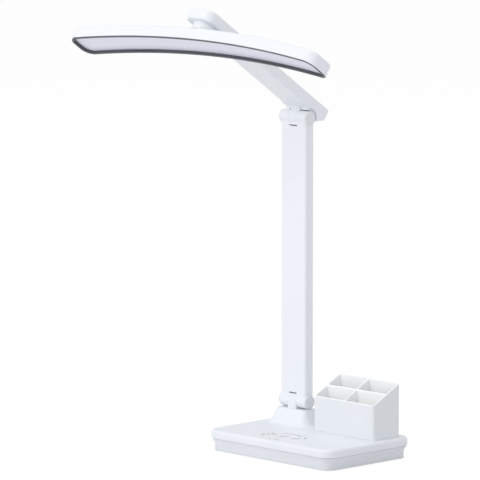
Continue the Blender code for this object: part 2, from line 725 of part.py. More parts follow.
def build_controls(make):
    """Touch disc, control board with its components and screws, indicator, socket and lead."""
    touch_low = BASE_HEIGHT - TOUCH_THICKNESS
    make.part("touch_disc", moved(rod(TOUCH_RADIUS, touch_low, BASE_HEIGHT, DISC_SIDES),
                                  (TOUCH_X, TOUCH_Y, 0)), "pale_disc")
    board = make.part("control_board", moved(rounded_box(
        BOARD_WIDTH, BOARD_DEPTH, board_bottom(), BOARD_TOP, BOARD_CORNER, EDGE_STEPS),
        (BOARD_X, BOARD_Y, 0)), "circuit_board")
    for place in board_fixings().values():
        make.cut(board, moved(rod(BOARD_SCREW_RADIUS + GAP, board_bottom() - OVERRUN,
                                  BOARD_TOP + OVERRUN), place))
    head_top = board_bottom() - GAP
    make.copies("board_screw", lambda: stepped_rod(head_top - BOARD_SCREW_HEAD_HEIGHT, [
        (BOARD_SCREW_HEAD_RADIUS, head_top),
        (BOARD_SCREW_RADIUS, board_bottom() + BOARD_SCREW_REACH)]), board_fixings(), "steel")
    over, under = BOARD_TOP + GAP, board_bottom() - GAP
    make.part("touch_sensor_pad", moved(box(SENSOR_SIZE, SENSOR_SIZE, over, ceiling() - GAP),
                                        (TOUCH_X, TOUCH_Y, 0)), "foam")
    make.part("control_chip", moved(box(CHIP_SIZE, CHIP_SIZE, under - CHIP_HEIGHT, under),
                                    (CHIP_X, BOARD_Y, 0)), "chip")
    make.part("indicator_led", moved(box(
        INDICATOR_LED_SIZE, INDICATOR_LED_SIZE, over, over + INDICATOR_LED_HEIGHT),
        (INDICATOR_X, INDICATOR_Y, 0)), "led")
    flange_top = ceiling() - GAP
    make.part("indicator_lens", moved(stepped_rod(flange_top - INDICATOR_FLANGE_HEIGHT, [
        (INDICATOR_FLANGE, flange_top), (INDICATOR_RADIUS, BASE_HEIGHT)]),
        (INDICATOR_X, INDICATOR_Y, 0)), "opal_diffuser")
    socket = make.part("power_socket", moved(along_y(rounded_box(
        SOCKET_WIDTH, SOCKET_HEIGHT, SOCKET_FRONT, SOCKET_SHOULDER, CAP_EDGE, 1)),
        (SOCKET_X, 0, SOCKET_Z)), "chip")
    spot = (SOCKET_X, 0, SOCKET_Z)
    make.join(socket, moved(along_y(rod(SOCKET_NOSE_RADIUS, SOCKET_SHOULDER - OVERRUN,
                                        SOCKET_NOSE)), spot))
    make.cut(socket, moved(along_y(rod(SOCKET_BORE_RADIUS, SOCKET_NOSE - SOCKET_BORE_DEPTH,
                                       SOCKET_NOSE + OVERRUN)), spot))
    make.lead("base_lead", LEAD_RADIUS, [
        (LOWER_HINGE_X + LEAD_STARTS_RIGHT, LOWER_HINGE_Y - LEAD_STARTS_FRONT, LEAD_START_Z),
        (LOWER_HINGE_X + LEAD_MIDDLE_RIGHT, LOWER_HINGE_Y - LEAD_MIDDLE_FRONT, LEAD_LOW_Z),
        (LOWER_HINGE_X + LEAD_RISES_RIGHT, LOWER_HINGE_Y - LEAD_BEND_FRONT, LEAD_LOW_Z),
        (LOWER_HINGE_X + LEAD_RISES_RIGHT, LOWER_HINGE_Y, LEAD_TURN_Z),
        (LOWER_HINGE_X + LEAD_RISES_RIGHT, LOWER_HINGE_Y, LEAD_TOP_Z)])


def build_holder(make):
    """Pen holder with four wells under a sloping rim, and the screws that hold it."""
    low = BASE_HEIGHT + GAP
    shape = rounded_box(HOLDER_WIDTH, HOLDER_DEPTH, low, BASE_HEIGHT + HOLDER_BACK_HEIGHT,
                        HOLDER_CORNER)
    slope = (HOLDER_BACK_HEIGHT - HOLDER_FRONT_HEIGHT) / HOLDER_DEPTH
    everything = shape.verts[:] + shape.edges[:] + shape.faces[:]
    cut = bmesh.ops.bisect_plane(
        shape, geom=everything, plane_co=(0, -HOLDER_DEPTH / 2, BASE_HEIGHT + HOLDER_FRONT_HEIGHT),
        plane_no=(0, -slope, 1), clear_outer=True, dist=SAME_PLACE)
    rim = [item for item in cut["geom_cut"] if isinstance(item, bmesh.types.BMEdge)]
    bmesh.ops.contextual_create(shape, geom=rim)
    centre = (HOLDER_X, HOLDER_Y, 0)
    holder = make.part("pen_holder", moved(shape, centre), "white_holder")
    well_width = (HOLDER_WIDTH - 2 * HOLDER_WALL - HOLDER_DIVIDER) / 2
    well_depth = (HOLDER_DEPTH - 2 * HOLDER_WALL - HOLDER_DIVIDER) / 2
    x = (well_width + HOLDER_DIVIDER) / 2
    y = (well_depth + HOLDER_DIVIDER) / 2
    for place in four_corners(x, y, (HOLDER_X, HOLDER_Y)).values():
        make.cut(holder, moved(rounded_box(
            well_width, well_depth, low + HOLDER_FLOOR,
            BASE_HEIGHT + HOLDER_BACK_HEIGHT + OVERRUN, HOLDER_WELL_CORNER, EDGE_STEPS), place))
    for place in holder_fixings().values():
        make.cut(holder, moved(rod(HOLDER_SCREW_RADIUS + GAP, BASE_HEIGHT,
                                   low + HOLDER_SCREW_BITE + GAP), place))
    head_top = ceiling() - GAP
    make.copies("holder_screw", lambda: stepped_rod(head_top - HOLDER_SCREW_HEAD_HEIGHT, [
        (HOLDER_SCREW_HEAD_RADIUS, head_top),
        (HOLDER_SCREW_RADIUS, low + HOLDER_SCREW_BITE)]), holder_fixings(), "steel")


def fix_cover(make, shell, cover, levels, places, lay, carrier):
    """Bosses in a shell, holes in its cover, and the screws that hold the two together."""
    floor, top = levels
    seat = top - COVER_THICKNESS - GAP
    head_low = top - COVER_SCREW_HEAD_HEIGHT
    tip = floor + COVER_SCREW_FOOT
    hole = COVER_SCREW_RADIUS + GAP
    for label, place in places.items():
        make.join(shell, moved(lay(rod(COVER_POST_RADIUS, floor - OVERRUN, seat)), place))
        make.cut(shell, moved(lay(rod(hole, tip - GAP, seat + OVERRUN)), place))
        make.cut(cover, moved(lay(stepped_rod(seat, [
            (hole, head_low - GAP), (COVER_SCREW_HEAD_RADIUS + GAP, top + OVERRUN)])), place))
        make.part(f"{label}_screw", moved(lay(stepped_rod(tip, [
            (COVER_SCREW_RADIUS, head_low), (COVER_SCREW_HEAD_RADIUS, top)])), place),
            "steel", carrier)


def hinge_hardware(make, name, carrier, height):
    """Bolt, nut, friction washers and caps of one hinge, in the lower arm's frame."""
    spot = (0, 0, height)
    half = ARM_WIDTH / 2
    seat = half - CAP_SEAT_DEPTH + GAP
    make.part(f"{name}_bolt", moved(along_x(stepped_rod(-seat - BOLT_HEAD_HEIGHT, [
        (BOLT_RADIUS, seat), (BOLT_HEAD_RADIUS, seat + BOLT_HEAD_HEIGHT)])), spot),
        "steel", carrier)
    body, bore = hex_nut(BOLT_HEAD_RADIUS, BOLT_RADIUS + GAP, -seat - BOLT_HEAD_HEIGHT, -seat)
    nut = make.part(f"{name}_nut", moved(along_x(body), spot), "steel", carrier)
    make.cut(nut, moved(along_x(bore), spot))
    inner = LUG_WIDTH / 2 + GAP
    rim = half + GAP
    for label, side in (("left", -1), ("right", 1)):
        washer = ring(WASHER_RADIUS, BOLT_RADIUS + GAP, inner, inner + WASHER_THICKNESS)
        make.part(f"{name}_{label}_washer", moved(turned(washer, side * 90, "Y"), spot),
                  "nylon", carrier)
        cap = stepped_rod(rim - CAP_SPIGOT, [
            (CAP_SEAT_RADIUS - GAP, rim), (BARREL_RADIUS, rim + CAP_THICKNESS)],
            DISC_SIDES // 2)
        soften(cap, rim + CAP_THICKNESS, CAP_EDGE, 1)
        make.part(f"{name}_{label}_cap", moved(turned(cap, side * 90, "Y"), spot),
                  "grey_cap", carrier)


def lobe_cutters(height, inward, reach):
    """Cutters for one end of the lower arm: notch, bore, washer recesses and cap seats."""
    notch_width = LUG_WIDTH + 2 * GAP
    free = BARREL_RADIUS + OVERRUN
    low, high = (height - free, height + reach) if inward > 0 else (height - reach, height + free)
    half = ARM_WIDTH / 2
    recess = notch_width / 2 + WASHER_THICKNESS + GAP
    cutters = [box(notch_width, 2 * free, low, high), moved(lug_bore(ARM_WIDTH), (0, 0, height)),
               moved(along_x(rod(WASHER_RADIUS + GAP, -recess, recess)), (0, 0, height))]
    for side in (1, -1):
        seat = rod(CAP_SEAT_RADIUS, half - CAP_SEAT_DEPTH, half + OVERRUN)
        cutters.append(moved(turned(seat, side * 90, "Y"), (0, 0, height)))
    return cutters


def arm_bar():
    """Upright bar of the lower arm, its front edges rounder than its back ones."""
    shape = box(ARM_WIDTH, ARM_THICKNESS, 0, LOWER_ARM_LENGTH)
    for side, radius in ((-1, ARM_EDGE), (1, ARM_BACK_EDGE)):
        level = side * ARM_THICKNESS / 2
        standing = [edge for edge in shape.edges
                    if all(abs(vert.co.y - level) < SAME_PLACE for vert in edge.verts)
                    and abs(edge.verts[0].co.z - edge.verts[1].co.z) > SAME_PLACE]
        bmesh.ops.bevel(shape, geom=standing, offset=radius, segments=EDGE_STEPS, profile=0.5,
                        affect="EDGES", material=-1)
    return shape


def build_lower_arm(make, carrier):
    """Upright arm: shell, back cover, steel spine, lead and the hardware of both hinges."""
    shell = make.part("lower_arm_shell", arm_bar(), "white_arm", carrier)
    half = ARM_WIDTH / 2
    for height in (0, LOWER_ARM_LENGTH):
        make.join(shell, moved(along_x(rod(BARREL_RADIUS, BARREL_SHY - half, half - BARREL_SHY,
                                           DISC_SIDES)), (0, 0, height)))
    make.cut(shell, *lobe_cutters(0, 1, BARREL_RADIUS + LUG_OVERSHOOT + LUG_SLIT))
    make.cut(shell, *lobe_cutters(LOWER_ARM_LENGTH, -1, UPPER_LUG_RADIUS + LUG_SLIT))
    front = -ARM_THICKNESS / 2 + ARM_WALL
    back = ARM_THICKNESS / 2
    seat = back - COVER_THICKNESS - GAP
    cavity_width = ARM_WIDTH - 2 * (ARM_EDGE + COVER_LEDGE)
    low, high = CAVITY_MARGIN, LOWER_ARM_LENGTH - CAVITY_MARGIN
    middle = LOWER_ARM_LENGTH / 2
    length = high - low
    make.cut(shell, moved(along_y(rounded_box(cavity_width, length, front, back + OVERRUN,
                                              COVER_CORNER, EDGE_STEPS)), (0, 0, middle)))
    ledge_width = cavity_width + 2 * COVER_LEDGE
    ledge_length = length + 2 * COVER_LEDGE
    make.cut(shell, moved(along_y(rounded_box(ledge_width, ledge_length, seat, back + OVERRUN,
                                              COVER_CORNER + COVER_LEDGE, EDGE_STEPS)),
                          (0, 0, middle)))
    cover_corner = COVER_CORNER + COVER_LEDGE - GAP
    cover = make.part("lower_arm_back", moved(along_y(rounded_box(
        ledge_width - 2 * GAP, ledge_length - 2 * GAP, seat + GAP, back, cover_corner,
        EDGE_STEPS)), (0, 0, middle)), "white_arm", carrier)
    fix_cover(make, shell, cover, (front, back), {
        "lower_arm_bottom": (0, 0, low + LOWER_COVER_SCREW_INSET),
        "lower_arm_top": (0, 0, high - LOWER_COVER_SCREW_INSET)}, along_y, carrier)
    spine_length = length - 2 * SPINE_MARGIN
    spine_low = front + GAP
    make.part("lower_arm_spine", moved(along_y(box(
        SPINE_WIDTH, spine_length, spine_low, spine_low + SPINE_THICKNESS)),
        (SPINE_X, 0, middle)), "steel", carrier)
    lead_y = front + GAP + ARM_LEAD_RADIUS
    make.lead("lower_arm_lead", ARM_LEAD_RADIUS, [
        (ARM_LEAD_X, lead_y, low + SPINE_MARGIN), (ARM_LEAD_X, lead_y, middle),
        (ARM_LEAD_X, lead_y, high - SPINE_MARGIN)], carrier)
    hinge_hardware(make, "lower_hinge", carrier, 0)
    hinge_hardware(make, "upper_hinge", carrier, LOWER_ARM_LENGTH)


def arm_slab(inset, back, low, high):
    """Arm outline drawn in by inset, between two heights: round corners in front only."""
    front = inset - UPPER_ARM_LENGTH - ARM_WIDTH / 2
    shape = moved(box(ARM_WIDTH - 2 * inset, back - front, low, high),
                  (0, (front + back) / 2, 0))
    front_edges = [edge for edge in shape.edges
                   if all(vert.co.y < front + SAME_PLACE for vert in edge.verts)
                   and abs(edge.verts[0].co.z - edge.verts[1].co.z) > SAME_PLACE]
    bmesh.ops.bevel(shape, geom=front_edges, offset=ARM_FRONT_CORNER - inset,
                    segments=CORNER_STEPS, profile=0.5, affect="EDGES", material=-1)
    return shape


def heel_form():
    """Block under the back of the upper arm, whose bottom is level when the arm is raised."""
    middle = UPPER_ARM_LIFT + ARM_THICKNESS / 2
    back_bottom = HEEL_BOTTOM + (HEEL_BACK - HEEL_TOE) * tan(radians(ARM_RISE))
    outline = [
        (-NOSE_START, middle), (-NOSE_START, UPPER_ARM_LIFT),
        (-UPPER_LUG_RADIUS, UPPER_ARM_LIFT - NOSE_DROP), (0, HEEL_BOTTOM),
        (HEEL_TOE, HEEL_BOTTOM), (HEEL_BACK, back_bottom), (HEEL_BACK, middle)]
    shape = bmesh.new()
    face = shape.faces.new([shape.verts.new((-ARM_WIDTH / 2, y, z)) for y, z in outline])
    pulled(shape, face, (ARM_WIDTH, 0, 0))
    return shape


def build_upper_arm(make, carrier):
    """Raised arm: shell with heel and lug, top cover, steel spine and lead."""
    low = UPPER_ARM_LIFT
    high = low + ARM_THICKNESS
    half = ARM_WIDTH / 2
    shape = arm_slab(0, HEEL_BACK, low, high)
    soften(shape, low, UPPER_EDGE, 2)
    soften(shape, high, UPPER_EDGE, 2)
    shell = make.part("upper_arm_shell", shape, "white_arm", carrier)
    make.join(shell, heel_form())
    for side in (1, -1):
        pocket = rod(POCKET_RADIUS, LUG_WIDTH / 2, half + OVERRUN, DISC_SIDES)
        make.cut(shell, turned(pocket, side * 90, "Y"))
    reach = low + ARM_THICKNESS / 2
    make.join(shell, turned(tongue(UPPER_LUG_RADIUS, reach, LUG_WIDTH), 180, "X"))
    make.cut(shell, lug_bore(LUG_WIDTH))
    floor = low + ARM_WALL
    seat = high - COVER_THICKNESS - GAP
    cover_back = HEEL_BACK - COVER_BACK
    make.cut(shell, arm_slab(UPPER_EDGE + COVER_LEDGE, CAVITY_BACK, floor, high + OVERRUN),
             arm_slab(UPPER_EDGE, cover_back, seat, high + OVERRUN))
    make.cut(shell, moved(rod(SPINDLE_RADIUS + SPINDLE_PLAY, low - OVERRUN, floor + OVERRUN),
                          (0, -UPPER_ARM_LENGTH, 0)))
    cover = make.part("upper_arm_cover", arm_slab(
        UPPER_EDGE + GAP, cover_back - GAP, seat + GAP, high), "white_arm", carrier)
    fix_cover(make, shell, cover, (floor, high), {
        "upper_arm_back": (0, UPPER_SCREW_BACK, 0),
        "upper_arm_front": (0, UPPER_SCREW_FROM_DISC - UPPER_ARM_LENGTH, 0)}, upright, carrier)
    spine_front = -UPPER_ARM_LENGTH + UPPER_SPINE_END
    spine_back = CAVITY_BACK - SPINE_MARGIN
    make.part("upper_arm_spine", moved(box(
        SPINE_WIDTH, spine_back - spine_front, floor + GAP, floor + GAP + SPINE_THICKNESS),
        (SPINE_X, (spine_back + spine_front) / 2, 0)), "steel", carrier)
    lead_z = floor + GAP + ARM_LEAD_RADIUS
    make.lead("upper_arm_lead", ARM_LEAD_RADIUS, [
        (ARM_LEAD_X, -UPPER_ARM_LENGTH + UPPER_LEAD_END, lead_z),
        (ARM_LEAD_X, -UPPER_ARM_LENGTH / 2, lead_z), (ARM_LEAD_X, spine_back, lead_z)], carrier)


def station(number):
    """Place along the head of one of the planes at which its arch bends."""
    return HEAD_LENGTH * (number / HEAD_STATIONS - 1 / 2)


def arch_drop(x):
    """How far the arch has dropped at x: a parabola in straight steps between the stations."""
    share = min(max(x / HEAD_LENGTH + 1 / 2, 0), 1) * HEAD_STATIONS
    before = min(int(share), HEAD_STATIONS - 1)
    heights = [HEAD_SAG * (2 * station(number) / HEAD_LENGTH) ** 2
               for number in (before, before + 1)]
    return heights[0] + (heights[1] - heights[0]) * (share - before)


def arched(shape):
    """Bend a flat shape along the head's arch and move it to the head's centre."""
    for number in range(1, HEAD_STATIONS):
        everything = shape.verts[:] + shape.edges[:] + shape.faces[:]
        bmesh.ops.bisect_plane(shape, geom=everything, plane_co=(station(number), 0, 0),
                               plane_no=(1, 0, 0), dist=SAME_PLACE)
    for vert in shape.verts:
        vert.co.z -= arch_drop(vert.co.x)
    return moved(shape, (HEAD_OFFSET_X, HEAD_OFFSET_Y, 0))


def head_slab(inset, low, high):
    """Head outline drawn in by inset, between two heights, still flat."""
    return rounded_box(HEAD_LENGTH - 2 * inset, HEAD_WIDTH - 2 * inset, low, high,
                       HEAD_CORNER - inset)


def head_place(x, y):
    """Where something at x, y of the flat head lies once the head is arched."""
    return (x + HEAD_OFFSET_X, y + HEAD_OFFSET_Y, -arch_drop(x))


def build_swivel(make, carrier):
    """Spindle, nut, washer and collar that carry the head under the upper arm."""
    top_wall_bottom = -HEAD_DROP - HEAD_TOP_WALL
    flange_top = top_wall_bottom - GAP
    make.part("swivel_spindle", stepped_rod(flange_top - SPINDLE_FLANGE_THICKNESS, [
        (SPINDLE_FLANGE_RADIUS, flange_top), (SPINDLE_RADIUS, SPINDLE_TOP)]), "steel", carrier)
    washer_low = ARM_WALL + GAP
    washer_high = washer_low + SWIVEL_WASHER_THICKNESS
    bore = SPINDLE_RADIUS + GAP
    make.part("swivel_washer", ring(SWIVEL_WASHER_RADIUS, bore, washer_low, washer_high),
              "steel", carrier)
    body, hole = hex_nut(SWIVEL_NUT_RADIUS, bore, washer_high + GAP,
                         washer_high + GAP + SWIVEL_NUT_HEIGHT)
    make.cut(make.part("swivel_nut", body, "steel", carrier), hole)
    collar = ring(COLLAR_RADIUS, bore, -HEAD_DROP + GAP, -GAP, DISC_SIDES)
    make.part("swivel_collar", collar, "pale_disc", carrier)


def build_head(make, carrier):
    """Arched housing, dark frame, diffuser, LED board, LEDs and screws."""
    top = -HEAD_DROP
    bottom = top - HEAD_SHELL_HEIGHT
    inner_top = top - HEAD_TOP_WALL
    shape = head_slab(0, bottom, top)
    housing = make.part("head_housing", arched(soften(shape, top, HEAD_EDGE)), "white_shell",
                        carrier)
    make.cut(housing, arched(head_slab(HEAD_WALL, bottom - OVERRUN, inner_top)))
    board_low = -LED_BOARD_TOP - LED_BOARD_THICKNESS
    screw_top = HEAD_SCREW_BITE - LED_BOARD_TOP
    hole = HEAD_SCREW_RADIUS + GAP
    spread = HEAD_LENGTH / 2 - HEAD_POST_MARGIN
    fixings = {"left": head_place(-spread, 0), "right": head_place(spread, 0)}
    for place in fixings.values():
        make.join(housing, moved(rod(HEAD_POST_RADIUS, HEAD_POST_GAP - LED_BOARD_TOP,
                                     inner_top + OVERRUN), place))
        make.cut(housing, moved(rod(hole, -LED_BOARD_TOP, screw_top + GAP), place))
    make.cut(housing, rod(SPINDLE_RADIUS + GAP, inner_top - OVERRUN, top + OVERRUN))
    lip_top = bottom - GAP
    lip_low = lip_top - FRAME_LIP
    upstand = HEAD_WALL + GAP
    recess_top = lip_low + RECESS_DEPTH
    frame = make.part("head_frame", arched(head_slab(GAP, lip_low, lip_top)), "dark_frame",
                      carrier)
    make.join(frame, arched(head_slab(upstand, lip_low, recess_top - GAP)))
    make.cut(frame, arched(head_slab(upstand + FRAME_WALL, lip_low - OVERRUN,
                                     recess_top + OVERRUN)))
    make.part("diffuser", arched(head_slab(upstand, recess_top,
                                           recess_top + DIFFUSER_THICKNESS)),
              "opal_diffuser", carrier)
    board = make.part("led_board", arched(box(
        HEAD_LENGTH - 2 * LED_BOARD_MARGIN_X, HEAD_WIDTH - 2 * LED_BOARD_MARGIN_Y,
        board_low, -LED_BOARD_TOP)), "led_board", carrier)
    reach = HEAD_LENGTH / 2 - LED_END_MARGIN
    columns = [reach * (2 * number / (LEDS_PER_ROW - 1) - 1) for number in range(LEDS_PER_ROW)]
    make.join(board, gathered([
        moved(box(LED_SIZE, LED_SIZE, board_low - LED_HEIGHT, board_low + LED_SUNK),
              head_place(x, side * LED_ROW_Y)) for x in columns for side in (1, -1)]))
    for place in fixings.values():
        make.cut(board, moved(rod(hole, board_low - OVERRUN, OVERRUN - LED_BOARD_TOP), place))
    head_top = board_low - HEAD_POST_GAP
    make.copies("led_board_screw", lambda: stepped_rod(head_top - HEAD_SCREW_HEAD_HEIGHT, [
        (HEAD_SCREW_HEAD_RADIUS, head_top), (HEAD_SCREW_RADIUS, screw_top)]), fixings,
        "steel", carrier)


def main():
    """Build the whole lamp."""
    clear_scene()
    make = Builder()
    build_tray(make)
    build_top(make)
    build_core(make)
    build_controls(make)
    build_holder(make)
    lower = make.carrier("lower_arm_axis", (LOWER_HINGE_X, LOWER_HINGE_Y, LOWER_HINGE_Z))
    build_lower_arm(make, lower)
    upper = make.carrier("upper_arm_axis", (0, 0, LOWER_ARM_LENGTH), -ARM_RISE, lower)
    build_upper_arm(make, upper)
    swivel = make.carrier("swivel_axis", (0, -UPPER_ARM_LENGTH, UPPER_ARM_LIFT), 0, upper)
    build_swivel(make, swivel)
    build_head(make, swivel)
    bpy.context.view_layer.update()


main()
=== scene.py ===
"""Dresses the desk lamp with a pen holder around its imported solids, and lights it in a studio.

Forms are drawn in millimetres and become pieces in metres. The origin lies on the table under the
middle of the base; X runs to the right, Y to the back and Z up. Each sub-assembly is a class that
holds its sizes and builds its pieces.
"""
from __future__ import annotations

import logging
from collections.abc import Callable, Iterable, Sequence
from dataclasses import dataclass
from enum import Enum
from math import cos, pi, radians, sin, tan

import bmesh
import bpy
from mathutils import Matrix, Vector

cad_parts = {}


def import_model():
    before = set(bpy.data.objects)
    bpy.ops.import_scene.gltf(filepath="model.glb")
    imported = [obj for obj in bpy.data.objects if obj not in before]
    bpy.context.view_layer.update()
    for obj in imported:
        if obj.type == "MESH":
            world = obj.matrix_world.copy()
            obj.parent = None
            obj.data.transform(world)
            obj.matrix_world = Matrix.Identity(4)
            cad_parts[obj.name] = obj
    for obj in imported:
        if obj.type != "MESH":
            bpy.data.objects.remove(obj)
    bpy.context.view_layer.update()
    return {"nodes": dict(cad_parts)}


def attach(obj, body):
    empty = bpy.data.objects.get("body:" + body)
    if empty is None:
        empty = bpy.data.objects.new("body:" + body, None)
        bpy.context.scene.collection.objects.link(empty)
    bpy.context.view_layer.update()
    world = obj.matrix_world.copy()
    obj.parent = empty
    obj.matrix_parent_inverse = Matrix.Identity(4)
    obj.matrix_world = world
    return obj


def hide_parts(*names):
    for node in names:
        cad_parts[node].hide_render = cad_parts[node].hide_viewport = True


LOG = logging.getLogger("desk_lamp")

Pair = tuple[float, float]
Triple = tuple[float, float, float]
Colour = Triple
Point = Triple
# Radius, foot and top of an upright rod
Rod = Triple

X, Y, Z = range(3)
SIDES = (-1, 1)
NAMED_SIDES = (("left", -1), ("right", 1))
MM = 0.001
GAP = 0.3
OVERRUN = 1.0
SAME = 0.001
SMOOTH_ANGLE = 32.0
ROUND_SIDES = 72
SMALL_SIDES = 32
CORNER_STEPS = 12
WIDE_STEPS = 8
EDGE_STEPS = 5
SOFT_STEPS = 4
FINE_STEPS = 3
# How far a profile's eased corner cuts across, as a share of its edge
EASE = 0.3
WHITE = (1.0, 1.0, 1.0, 1.0)


class Body(Enum):
    """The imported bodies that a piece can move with."""

    BASE = "base"
    LOWER_ARM = "lower_arm"
    UPPER_ARM = "upper_arm"
    HEAD = "head"


class Slot(Enum):
    """The record's material slots."""

    WHITE_SHELL = "white_shell"
    WHITE_ARM = "white_arm"
    WHITE_HOLDER = "white_holder"
    PALE_DISC = "pale_disc"
    DARK_FRAME = "dark_frame"
    OPAL_DIFFUSER = "opal_diffuser"
    GREY_CAP = "grey_cap"
    NYLON = "nylon"
    CAST_BALLAST = "cast_ballast"
    CIRCUIT_BOARD = "circuit_board"
    LED_BOARD = "led_board"
    LED = "led"
    BLACK_PLASTIC = "black_plastic"
    RUBBER = "rubber"
    FOAM = "foam"
    LEAD = "lead"
    STEEL = "steel"


class Operation(Enum):
    """What a Boolean does with its tool."""

    JOIN = "UNION"
    CUT = "DIFFERENCE"


# Finishes


def maths(operation: str, reflected: bool = False) -> Callable[[Wire, Wire | float], Wire]:
    """Write a method of Wire that adds one Math node.

    Args:
        operation: what the node works out.
        reflected: whether the other value comes first.

    Returns:
        The method.
    """
    def work(wire: Wire, other: Wire | float) -> Wire:
        """Work out a value from this one and another."""
        first, second = (other, wire) if reflected else (wire, other)
        return wire.paint.node("Math", {"operation": operation}, {0: first, 1: second})
    return work


class Wire:
    """A shader socket that takes part in an expression."""

    def __init__(self, paint: Paint, socket: bpy.types.NodeSocket) -> None:
        """Keep the socket and the nodes it belongs to."""
        self.paint = paint
        self.socket = socket

    __add__ = maths("ADD")
    __radd__ = maths("ADD", reflected=True)
    __sub__ = maths("SUBTRACT")
    __rsub__ = maths("SUBTRACT", reflected=True)
    __mul__ = maths("MULTIPLY")
    __rmul__ = maths("MULTIPLY", reflected=True)
    larger = maths("MAXIMUM")


class Paint:
    """The nodes of a material or a world under work."""

    def __init__(self, owner: bpy.types.Material | bpy.types.World) -> None:
        """Start from the surface that the owner comes with."""
        owner.use_nodes = True
        self.tree = owner.node_tree
        self.output = next(node for node in self.tree.nodes if node.type.startswith("OUTPUT"))
        self.shader = self.output.inputs["Surface"].links[0].from_node

    def node(self, kind: str, settings: dict[str, object], sockets: dict[int | str, object],
             output: int | str = 0) -> Wire:
        """Add a node, its settings first and then what its sockets get.

        Args:
            kind: the node's type, without ShaderNode in front.
            settings: attributes of the node; a ramp takes its stops as (place, value) pairs.
            sockets: numbers, colours or wires, by the socket's index or name.
            output: which output to hand back.

        Returns:
            The output, ready for an expression.
        """
        made = self.tree.nodes.new(f"ShaderNode{kind}")
        for attribute, value in settings.items():
            if attribute == "stops":
                self._set_stops(made.color_ramp, value)
            else:
                setattr(made, attribute, value)
        for key, value in sockets.items():
            self._fill(made.inputs[key], value)
        return Wire(self, made.outputs[output])

    def _fill(self, socket: bpy.types.NodeSocket, value: object) -> None:
        """Link a wire to a socket, or set its value."""
        if isinstance(value, Wire):
            self.tree.links.new(value.socket, socket)
        else:
            socket.default_value = value

    @staticmethod
    def _set_stops(ramp: bpy.types.ColorRamp, stops: Sequence[Pair]) -> None:
        """Give a ramp its grey stops.

        Args:
            ramp: the ramp, with at most as many stops as it gets.
            stops: (place, value) pairs in order.
        """
        while len(ramp.elements) < len(stops):
            ramp.elements.new(1.0)
        for element, (place, value) in zip(ramp.elements, stops):
            element.position = place
            element.color = (value, value, value, 1.0)

    def place(self, scale: Point = (1.0, 1.0, 1.0)) -> Wire:
        """Object coordinates in metres, stretched by a scale along each axis."""
        spot = self.node("TexCoord", {}, {}, "Object")
        return self.node("Mapping", {}, {"Vector": spot, "Scale": scale})

    def noise(self, scale: float, detail: float = 2.0, stretch: Point = (1.0, 1.0, 1.0)) -> Wire:
        """Noise from 0 to 1 with features 1 / scale metres across."""
        return self.node("TexNoise", {}, {
            "Vector": self.place(stretch), "Scale": scale, "Detail": detail}, "Fac")

    def ramp(self, value: Wire, *stops: Pair) -> Wire:
        """A value through a grey ramp."""
        return self.node("ValToRGB", {"stops": stops}, {"Fac": value}, "Color")

    def rising(self, value: Wire, low: float, high: float) -> Wire:
        """0 where a value is under low, 1 where it is over high, and a slope between."""
        return self.ramp(value, (low, 0.0), (high, 1.0))

    def blend(self, factor: Wire, first: Wire | Colour, second: Wire | Colour) -> Wire:
        """Mix two colours by a factor."""
        pair = [value if isinstance(value, Wire) else (*value, 1.0) for value in (first, second)]
        return self.node("Mix", {"data_type": "RGBA"}, {0: factor, 6: pair[0], 7: pair[1]}, 2)

    def bump(self, height: Wire, distance: float) -> None:
        """Give the surface a relief that is distance metres deep."""
        self.feed(Normal=self.node("Bump", {}, {"Height": height, "Distance": distance}, "Normal"))

    def feed(self, **values: Wire | float | Sequence[float]) -> None:
        """Give sockets of the surface wires or fixed values, by their names with underscores."""
        for name, value in values.items():
            self._fill(self.shader.inputs[name.replace("_", " ")], value)

    def overlay(self, factor: Wire, shader: Wire) -> None:
        """Mix another shader over the surface by a factor."""
        both = self.node("MixShader", {}, {0: factor, 1: Wire(self, self.shader.outputs[0]), 2: shader})
        self.tree.links.new(both.socket, self.output.inputs["Surface"])


@dataclass(frozen=True)
class Finish:
    """What every finish has: a colour, the colour of its darker patches and a roughness."""

    colour: Colour
    shade: Colour
    roughness: float

    def material(self, name: str) -> bpy.types.Material:
        """Build the material under a name."""
        material = bpy.data.materials.new(name)
        self.dress(Paint(material))
        return material

    def dress(self, paint: Paint) -> None:
        """Add the nodes; each finish has its own."""
        raise NotImplementedError


@dataclass(frozen=True)
class MouldedPlastic(Finish):
    """Moulded plastic: a slow mottle, a spark-eroded grain and faint handling marks."""

    gloss: float = 0.5
    grain_size: float = 0.0006
    grain_depth: float = 0.000012
    patch_size: float = 0.05
    patch_range: Pair = (0.35, 0.68)
    patch_roughness: float = 0.06
    speck_scale: float = 900.0
    speck_range: Pair = (0.72, 0.8)
    speck_share: float = 0.25
    mark_scale: float = 160.0
    mark_stretch: Point = (1.0, 1.0, 0.25)
    mark_range: Pair = (0.56, 0.72)
    mark_roughness: float = 0.10
    flow_scale: float = 28.0
    flow_share: float = 4.0

    def dress(self, paint: Paint) -> None:
        """Mottle the colour, vary the gloss and raise the grain."""
        patches = paint.noise(1 / self.patch_size, detail=3.0)
        specks = paint.rising(paint.noise(self.speck_scale, detail=1.0), *self.speck_range)
        mottle = (paint.rising(patches, *self.patch_range) * (1 - self.speck_share)
                  + specks * self.speck_share)
        marks = paint.rising(paint.noise(self.mark_scale, detail=4.0, stretch=self.mark_stretch),
                             *self.mark_range)
        paint.feed(Base_Color=paint.blend(mottle, self.colour, self.shade),
                   Roughness=(marks * self.mark_roughness + (self.roughness - self.patch_roughness / 2)
                              + patches * self.patch_roughness), Specular_IOR_Level=self.gloss)
        grain = paint.noise(1 / self.grain_size)
        paint.bump(grain + paint.noise(self.flow_scale, detail=1.0) * self.flow_share, self.grain_depth)


